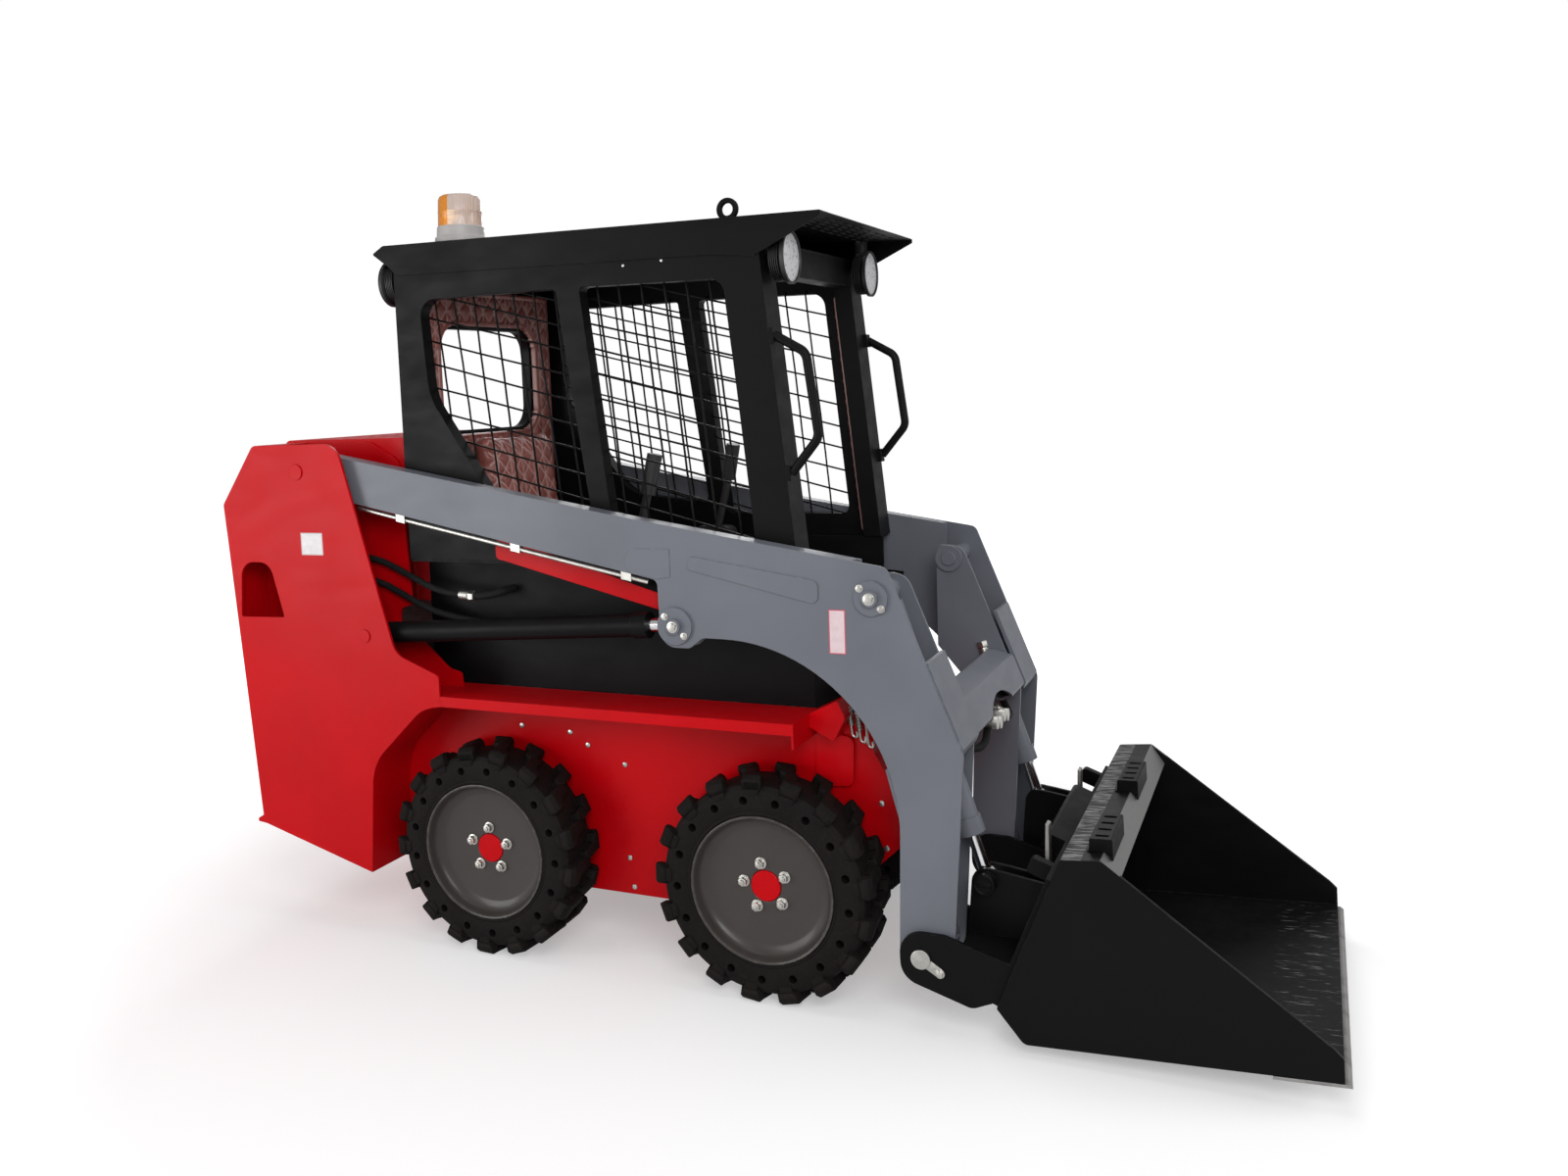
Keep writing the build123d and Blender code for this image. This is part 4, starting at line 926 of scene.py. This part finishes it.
def buildBeacon(size):
    low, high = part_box("beacon")
    centre = Vector(((low.x + high.x) / 2, (low.y + high.y) / 2, low.z + size["lift"]))
    tall = high.z - low.z - size["lift"] * 2
    up = Vector((math.sin(size["lean"]), 0, math.cos(size["lean"])))
    foot = bmesh.new()
    addTurned(foot, [(0, 0), (0, 0.069), (0.004, 0.0695), (0.014, 0.068), (0.016, 0.064), (0.040, 0.0625),
                     (0.043, 0.0605), (0.043, 0)], centre, up, 56)
    finishMesh("beacon_foot", foot, "chassis", paleFoot, 30)
    dome = bmesh.new()
    rows = [(0.0432, 0), (0.0432, 0.0595), (0.060, 0.0590), (0.078, 0.0583), (0.080, 0.0592), (0.083, 0.0582),
            (tall - 0.012, 0.0572), (tall - 0.004, 0.0535), (tall, 0.047), (tall, 0)]
    addTurned(dome, rows, centre, up, 64)
    for face in dome.faces:
        face.material_index = 1 if face.calc_center_median().x > centre.x + size["split"] else 0
    body = finishMesh("beacon_dome", dome, "chassis", [amberDome, clearDome], 30)
    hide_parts("beacon")


buildBeacon(beaconSize)
print("stage: lamps and beacon")


# Hoses and their fittings.

hoseSize = {"radius": 0.0095, "elbow": 0.011, "collar": 0.0125, "collarLong": 0.030, "rings": 4,
            "ringPitch": 0.006, "ringThick": 0.0025, "ringProud": 0.0012, "hex": 0.0150}


def addFitting(bm, at, towards, size):
    axis = (Vector(towards) - Vector(at)).normalized()
    at = Vector(at)
    addRod(bm, at, at + axis * size["collarLong"], size["collar"], 18, edge=0.0010)
    for k in range(size["rings"]):
        start = at + axis * (0.004 + k * size["ringPitch"])
        addRod(bm, start, start + axis * size["ringThick"], size["collar"] + size["ringProud"], 18)
    addHex(bm, at - axis * 0.018, at - axis * 0.001, size["hex"])


def hoseRun(rubberBm, metalBm, points, size=hoseSize):
    addTube(rubberBm, points, size["radius"], 12)
    addFitting(metalBm, points[0], points[1], size)
    addFitting(metalBm, points[-1], points[-2], size)


chassisHoses = [
    [(-1.060, 0.350, 1.060), (-1.000, 0.350, 1.056), (-0.940, 0.352, 1.036), (-0.870, 0.356, 1.006),
     (-0.800, 0.360, 0.978), (-0.740, 0.362, 0.966), (-0.680, 0.362, 0.962)],
    [(-1.060, 0.350, 1.000), (-0.990, 0.350, 0.992), (-0.920, 0.352, 0.962), (-0.850, 0.354, 0.930),
     (-0.780, 0.350, 0.905), (-0.700, 0.340, 0.890), (-0.640, 0.322, 0.880), (-0.600, 0.296, 0.875)]]
armHoses = [
    [(0.640, 0.060, 0.640), (0.655, 0.110, 0.615), (0.650, 0.180, 0.600), (0.620, 0.235, 0.620),
     (0.585, 0.262, 0.680), (0.560, 0.268, 0.760)]]
elbowRoute = [(-0.660, 0.362, 0.962), (-0.620, 0.362, 0.964), (-0.592, 0.354, 0.972),
              (-0.578, 0.334, 0.976), (-0.576, 0.296, 0.976)]


def buildHoses():
    for name, routes, body, sides in (("chassis_hoses", chassisHoses, "chassis", (-1, 1)),
                                      ("arm_hoses", armHoses, "lift_arms", (1, -1))):
        rubber, metal = bmesh.new(), bmesh.new()
        for side in sides:
            for route in routes:
                hoseRun(rubber, metal, [mirroredY(p, side) for p in route])
            if body == "chassis":
                # a black elbow leads from the upper hose's fitting into the cover
                addTube(rubber, [mirroredY(p, side) for p in elbowRoute], hoseSize["elbow"], 14)
        hoses = finishMesh(name, rubber, body, hoseRubber, 50, clean=False)
        finishMesh(name + "_fittings", metal, body, zincSteel, 30, clean=False)


buildHoses()
print("stage: hoses")


# Bolts, pin heads, grease nipples and keepers.

boltSize = {"head": 0.0085, "high": 0.0055, "washer": 0.0115, "thin": 0.0016}
tubBolts = {"places": ((-0.573, 0.597), (-0.421, 0.590), (-0.368, 0.559), (-0.258, 0.515), (-0.255, 0.262),
                       (-0.245, 0.183), (0.440, 0.482), (0.450, 0.371)), "radius": 0.0075, "high": 0.0035}
cabBolts = {"places": ((-0.160, 1.800), (-0.055, 1.804)), "radius": 0.0040, "high": 0.0022}
armPins = {"places": ((-0.026, 0.920), (0.469, 1.004)), "circle": 0.034, "turn": 2.4, "sunk": 0.010,
           "nipple": 0.0032, "nippleTip": 0.0018}


def addBolt(bm, at, out, scale=1.0):
    at, out = Vector(at), Vector(out).normalized()
    size = {k: v * scale for k, v in boltSize.items()}
    addRod(bm, at - out * 0.001, at + out * size["thin"], size["washer"], 20, edge=0.0004)
    foot = at + out * size["thin"]
    addHex(bm, foot, foot + out * size["high"], size["head"], 0.0010 * scale)


def addDomed(bm, at, out, radius, high):
    rows = [(-0.001, radius), (high * 0.35, radius), (high * 0.75, radius * 0.86), (high, radius * 0.45),
            (high, 0)]
    addTurned(bm, rows, at, out, 20)


def buildFasteners():
    zinc, grey = bmesh.new(), bmesh.new()
    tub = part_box("chassis_tub")[1].y
    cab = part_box("cab_side_left")[1].y
    for side in (-1, 1):
        for bolts, face in ((tubBolts, tub), (cabBolts, cab)):
            for x, z in bolts["places"]:
                addDomed(zinc, (x, side * face, z), (0, side, 0), bolts["radius"], bolts["high"])
    finishMesh("chassis_fasteners", zinc, "chassis", zincSteel, 30)
    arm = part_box("arm_left")[1].y
    for side in (-1, 1):
        out = (0, side, 0)
        face = side * arm
        for x, z in armPins["places"]:
            addBolt(grey, (x, face, z), out, 1.25)
            for turn in (armPins["turn"], armPins["turn"] + math.pi):
                across, above = armPins["circle"] * math.cos(turn), armPins["circle"] * math.sin(turn)
                addBolt(grey, (x + across, face - side * armPins["sunk"], z + above), out, 0.8)
            # a grease nipple stands beside the bolt
            start, end = face - side * 0.001, face + side * 0.010
            addRod(grey, (x + 0.010, start, z + 0.004), (x + 0.010, end, z + 0.004), armPins["nipple"], 10,
                   tip=armPins["nippleTip"])
    bolts = finishMesh("arm_pin_bolts", grey, "lift_arms", zincSteel, 30)


buildFasteners()


keeperSize = {"sunk": 0.0055, "pin": 0.023, "pinOut": 0.0085, "end": 0.0115, "thick": 0.005,
              "pinPlace": (0.573, 0.180), "boltPlace": (0.617, 0.153)}
rodPin = {"place": (0.697, 0.359, 0.336), "slot": (0.016, 0.004), "radius": 0.026}


def buildKeepers(size, pin):
    # each lower pin is held by a flat zinc keeper with its own bolt, each rod pin has a black head
    zinc, black = bmesh.new(), bmesh.new()
    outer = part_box("coupler_frame")[1].y
    for side in (-1, 1):
        out = Vector((0, side, 0))
        face = side * (outer - size["sunk"])
        a, b = (Vector((x, face, z)) for x, z in (size["pinPlace"], size["boltPlace"]))
        addRod(zinc, a, a + out * size["pinOut"], size["pin"], 36, edge=0.0015)
        run = (b - a).normalized()
        cross = Vector((-run.z, 0, run.x)) * size["end"]
        corners = [a + cross, b + cross, b - cross, a - cross]
        near, far = sorted((face, face + side * size["thick"]))
        addOutline(zinc, [(c.x, c.z) for c in corners], near, far, 0.001)
        addRod(zinc, b, b + out * size["thick"], size["end"], 24, edge=0.001)
        addBolt(zinc, b + out * size["thick"], out, 0.95)
        # outer heads only: the leg's inner plate passes close by the inner faces at full rollback
        head = Vector(mirroredY(pin["place"], side))
        r = pin["radius"]
        rows = [(-0.004, r), (0.008, r), (0.0105, r - 0.0015), (0.0115, r - 0.006), (0.0095, r - 0.008),
                (0.0095, 0)]
        addTurned(black, rows, head, out, 36)
        wide, high = pin["slot"]
        addBlock(black, (head.x - wide, head.y + side * 0.009 - 0.002, head.z - high),
                 (head.x + wide, head.y + side * 0.009 + 0.004, head.z + high), 0.0008)
    finishMesh("pin_keepers", zinc, "bucket", zincSteel, 30)
    finishMesh("rod_pin_heads", black, "bucket", blackPaint, 30)


buildKeepers(keeperSize, rodPin)
print("stage: fasteners")


# Blank labels: a pale plate on each tower, a tall sticker on each arm.

def labelMaterial(row):
    # a plain sheet with a coloured border and no lettering
    mat, tree, shader = startMaterial("blank " + row["name"] + " label", row["paper"], 0.45)
    where = partsOf(tree, "TexCoord", "Object")
    wide, blend = row["wide"], 0.0004
    inside = times(tree, band(tree, where["X"], row["low"][0] + wide, row["high"][0] - wide, blend),
                   band(tree, where["Z"], row["low"][1] + wide, row["high"][1] - wide, blend))
    dusty = blendColour(tree, contrast(tree, grain(tree, 60, 5)), row["paper"], scaled(row["paper"], 0.86))
    feed(shader, {"Base Color": blendColour(tree, inside, row["border"], dusty),
                  "Roughness": contrast(tree, grain(tree, 200), 0.35, 0.55)})
    return mat


labelTable = (
    {"name": "tower", "body": "chassis", "node": "tower_left", "sunk": 0.004, "low": (-1.158, 1.078),
     "high": (-1.082, 1.140), "paper": (0.80, 0.76, 0.76), "border": (0.55, 0.50, 0.50), "wide": 0.003},
    {"name": "arm", "body": "lift_arms", "node": "arm_left", "sunk": 0.017, "low": (0.367, 0.872),
     "high": (0.407, 0.975), "paper": (0.78, 0.62, 0.64), "border": (0.62, 0.10, 0.16), "wide": 0.0022})


def buildLabels():
    for row in labelTable:
        bm = bmesh.new()
        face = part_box(row["node"])[1].y - row["sunk"]
        low, high = row["low"], row["high"]
        for side in (-1, 1):
            corners = [(low[0], low[1]), (high[0], low[1]), (high[0], high[1]), (low[0], high[1])]
            near, far = sorted((side * face, side * (face + 0.0006)))
            addOutline(bm, corners, near, far)
        sheet = finishMesh(row["name"] + "_labels_blank", bm, row["body"], labelMaterial(row), 30)


buildLabels()


# Springs and hooked rods behind the front of each ledge.

hookSize = {"places": (0.372, 0.394, 0.414), "y": 0.309, "top": 0.716, "foot": 0.652, "rod": 0.0032,
            "coil": 0.0065, "turns": 12, "points": 120, "wire": 0.0014}


def coilPoints(x, y, top, tall, size):
    points = []
    for s in range(size["points"]):
        share = s / (size["points"] - 1)
        spin = share * 2 * math.pi * size["turns"]
        across, out = size["coil"] * math.cos(spin), size["coil"] * math.sin(spin)
        points.append((x - 0.006 + 0.006 * share + across, y + out, top - tall * (0.08 + 0.60 * share)))
    return points


def buildHooks(size):
    bm = bmesh.new()
    for side in (-1, 1):
        for k, x in enumerate(size["places"]):
            y = side * (size["y"] + 0.004 * k)
            top, foot = size["top"] - 0.006 * k, size["foot"] - 0.010 * k
            hook = ((-0.006, top), (0, foot), (0.004, foot - 0.008), (0.011, foot - 0.010),
                    (0.015, foot - 0.003), (0.012, foot + 0.005))
            addTube(bm, [(x + ahead, y, z) for ahead, z in hook], size["rod"], 10)
            if k < 2:
                addTube(bm, coilPoints(x, y, top, top - foot, size), size["wire"], 8, smooth=False)
    finishMesh("ledge_springs", bm, "chassis", zincSteel, 50, clean=False)


buildHooks(hookSize)


# Weld beads along the bucket's seams.

def addBead(bm, start, end, radius, seed):
    start, end = Vector(start), Vector(end)
    length = (end - start).length
    count = max(2, int(length / (radius * 1.5)))
    rng = random.Random(seed)
    for k in range(count):
        at = start.lerp(end, (k + 0.5) / count)
        size = radius * rng.uniform(0.85, 1.15)
        bmesh.ops.create_icosphere(bm, subdivisions=1, radius=size, matrix=Matrix.Translation(at)
                                   @ Matrix.Diagonal((1.0, 1.0, 0.8, 1)))


weldSize = {"side": 0.0035, "plate": 0.0030, "cheek": 0.0405, "floor": 0.010}


def buildWelds(size):
    bm = bmesh.new()
    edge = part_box("bucket_shell")[1].y
    for side in (-1, 1):
        cheek, floor = side * (edge - size["cheek"]), side * (edge - size["floor"])
        addBead(bm, (0.753, cheek, 0.118), (0.880, cheek, 0.440), size["side"], 3)
        addBead(bm, (0.810, floor, 0.042), (1.170, floor, 0.063), size["side"], 5)
    for a, b in ((-0.430, -0.250), (0.020, 0.200)):
        addBead(bm, (0.937, a, 0.4660), (0.937, b, 0.4660), size["plate"], 11)
    finishMesh("bucket_welds", bm, "bucket", blackPaint, 60, clean=False)


buildWelds(weldSize)
print("stage: labels, springs and welds")


# Bucket paint, scraped to steel on its folded front edge and a little on its floor.

def scrapedMaterial(name, zones):
    mat = blackPaint.copy()
    mat.name = name
    tree = mat.node_tree
    shader = tree.nodes["Principled BSDF"]
    paint = shader.inputs["Base Color"].links[0].from_socket
    rough = shader.inputs["Roughness"].links[0].from_socket
    where = partsOf(tree, "TexCoord", "Object")
    facing = partsOf(tree, "NewGeometry", "Normal")["Z"]
    scratches = grain(tree, 60, 6, placeOf(tree, (0.4, 3.0, 1.0)))
    total = None
    for zone in zones:
        part = times(tree, band(tree, where["X"], *zone["x"], 0.002),
                     band(tree, where["Z"], *zone["z"], 0.002))
        part = times(tree, part, spread(tree, facing, zone["facing"] - 0.05, zone["facing"] + 0.05))
        ease = 0.4 * zone["amount"]
        worn = times(tree, part, spread(tree, scratches, 0.62 - ease, 0.74 - ease))
        total = worn if total is None else combine(tree, "ADD", total, worn)
    feed(shader, {"Base Color": blendColour(tree, total, paint, (0.22, 0.22, 0.215)),
                  "Roughness": addNode(tree, "Mix", {"Factor": total, 2: rough, 3: 0.42}).outputs[0],
                  "Metallic": times(tree, total, 0.6)})
    return mat


scrapedZones = ({"x": (0.968, 1.010), "z": (0.412, 0.470), "facing": 0.2, "amount": 1.0},
                {"x": (0.886, 0.930), "z": (0.440, 0.475), "facing": 0.5, "amount": 0.35},
                {"x": (1.290, 1.440), "z": (0.020, 0.090), "facing": 0.6, "amount": 0.02})
bucketPaint = scrapedMaterial("bucket enamel scraped to steel", scrapedZones)
nodeObjects["lifting_eye"].data.materials[0] = blackPaint
for node in ("bucket_shell", "bucket_steps"):
    nodeObjects[node].data.materials.clear()
    nodeObjects[node].data.materials.append(bucketPaint)
print("stage: bucket wear")

# Camera at the right-hand side, a little behind the bucket.

cameraLook = {"place": (1.36647, -3.28196, 1.4814), "yaw": 0.459478, "pitch": -0.101921, "roll": -0.0400665,
              "lens": 30.222, "shiftX": 0.075004, "shiftY": -0.037514}


def makeCamera(look):
    yaw, pitch, roll = look["yaw"], look["pitch"], look["roll"]
    ahead = Vector((-math.sin(yaw) * math.cos(pitch), math.cos(yaw) * math.cos(pitch), math.sin(pitch)))
    level = ahead.cross(Vector((0, 0, 1))).normalized()
    above = level.cross(ahead)
    right = level * math.cos(roll) + above * math.sin(roll)
    up = above * math.cos(roll) - level * math.sin(roll)
    data = bpy.data.cameras.new("camera")
    data.sensor_width = 36
    data.lens = look["lens"]
    data.shift_x = look["shiftX"]
    data.shift_y = look["shiftY"]
    data.clip_end = 60
    camera = addObject("camera", data)
    turn = Matrix((right, up, -ahead)).transposed().to_4x4()
    camera.matrix_world = Matrix.Translation(look["place"]) @ turn
    scene.camera = camera


makeCamera(cameraLook)


# Pale floor, soft lights, and a white background seen by the camera, through glass and faintly in gloss.

# each light's place, size and power
lightLook = {"key": ((2.2, -4.2, 3.2), 2.8, 118), "fill": ((-3.4, -3.8, 1.4), 2.8, 84),
             "back": ((-1.6, 4.0, 3.6), 3.0, 95), "top": ((0.2, 0.0, 5.2), 3.6, 55),
             "front": ((4.6, 0.6, 2.2), 2.2, 45)}
worldLook = {"light": (0.80, 0.80, 0.82, 1), "strength": 0.32, "inGloss": 0.25}
floorLook = {"radius": 14, "sides": 96, "colour": (0.74, 0.74, 0.74), "roughness": 0.9, "reach": 0.36,
             "glowFrom": 0.6, "glowTo": 1.6, "glow": (0.36, 1.0)}


def makeLight(name, place, size, power):
    data = bpy.data.lights.new(name, "AREA")
    data.shape = "DISK"
    data.size = size
    data.energy = power
    lamp = addObject(name, data)
    aim = Vector((0, 0, 0.8)) - Vector(place)
    lamp.matrix_world = Matrix.Translation(place) @ aim.to_track_quat("-Z", "Y").to_matrix().to_4x4()


for lightName, (place, size, power) in lightLook.items():
    makeLight(lightName, place, size, power)


def seenDirectly(tree):
    rays = addNode(tree, "LightPath").outputs
    inGloss = times(tree, rays["Is Glossy Ray"], worldLook["inGloss"])
    seen = combine(tree, "ADD", rays["Is Camera Ray"], inGloss)
    return combine(tree, "ADD", seen, rays["Is Transmission Ray"])


def makeWorld():
    world = bpy.data.worlds.new("studio")
    world.use_nodes = True
    tree = world.node_tree
    back = tree.nodes["Background"]
    feed(back, {"Color": worldLook["light"], "Strength": worldLook["strength"]})
    white = addNode(tree, "Background", {"Color": (1, 1, 1, 1), "Strength": 1.0})
    both = addNode(tree, "MixShader", {0: seenDirectly(tree), 1: back.outputs[0], 2: white.outputs[0]})
    feed(tree.nodes["World Output"], {"Surface": both.outputs[0]})
    scene.world = world


def makeFloor(look):
    bm = bmesh.new()
    bmesh.ops.create_circle(bm, cap_ends=True, segments=look["sides"], radius=look["radius"])
    floor = addObject("studio_floor", meshFrom("studio_floor", bm))
    mat, tree, shader = startMaterial("pale floor", look["colour"], look["roughness"])
    # the floor glows to white away from the machine
    flat = placeOf(tree, (look["reach"], look["reach"], 0))
    away = addNode(tree, "VectorMath", {0: flat}, operation="LENGTH").outputs["Value"]
    strength = spread(tree, away, look["glowFrom"], look["glowTo"], *look["glow"])
    glow = addNode(tree, "Emission", {"Color": (1, 1, 1, 1), "Strength": strength})
    added = addNode(tree, "AddShader", {0: shader.outputs[0], 1: glow.outputs[0]})
    both = addNode(tree, "MixShader", {0: seenDirectly(tree), 1: shader.outputs[0], 2: added.outputs[0]})
    feed(tree.nodes["Material Output"], {"Surface": both.outputs[0]})
    floor.data.materials.append(mat)


makeWorld()
makeFloor(floorLook)
scene.view_settings.view_transform = "Standard"
print("stage: camera, lights and floor")
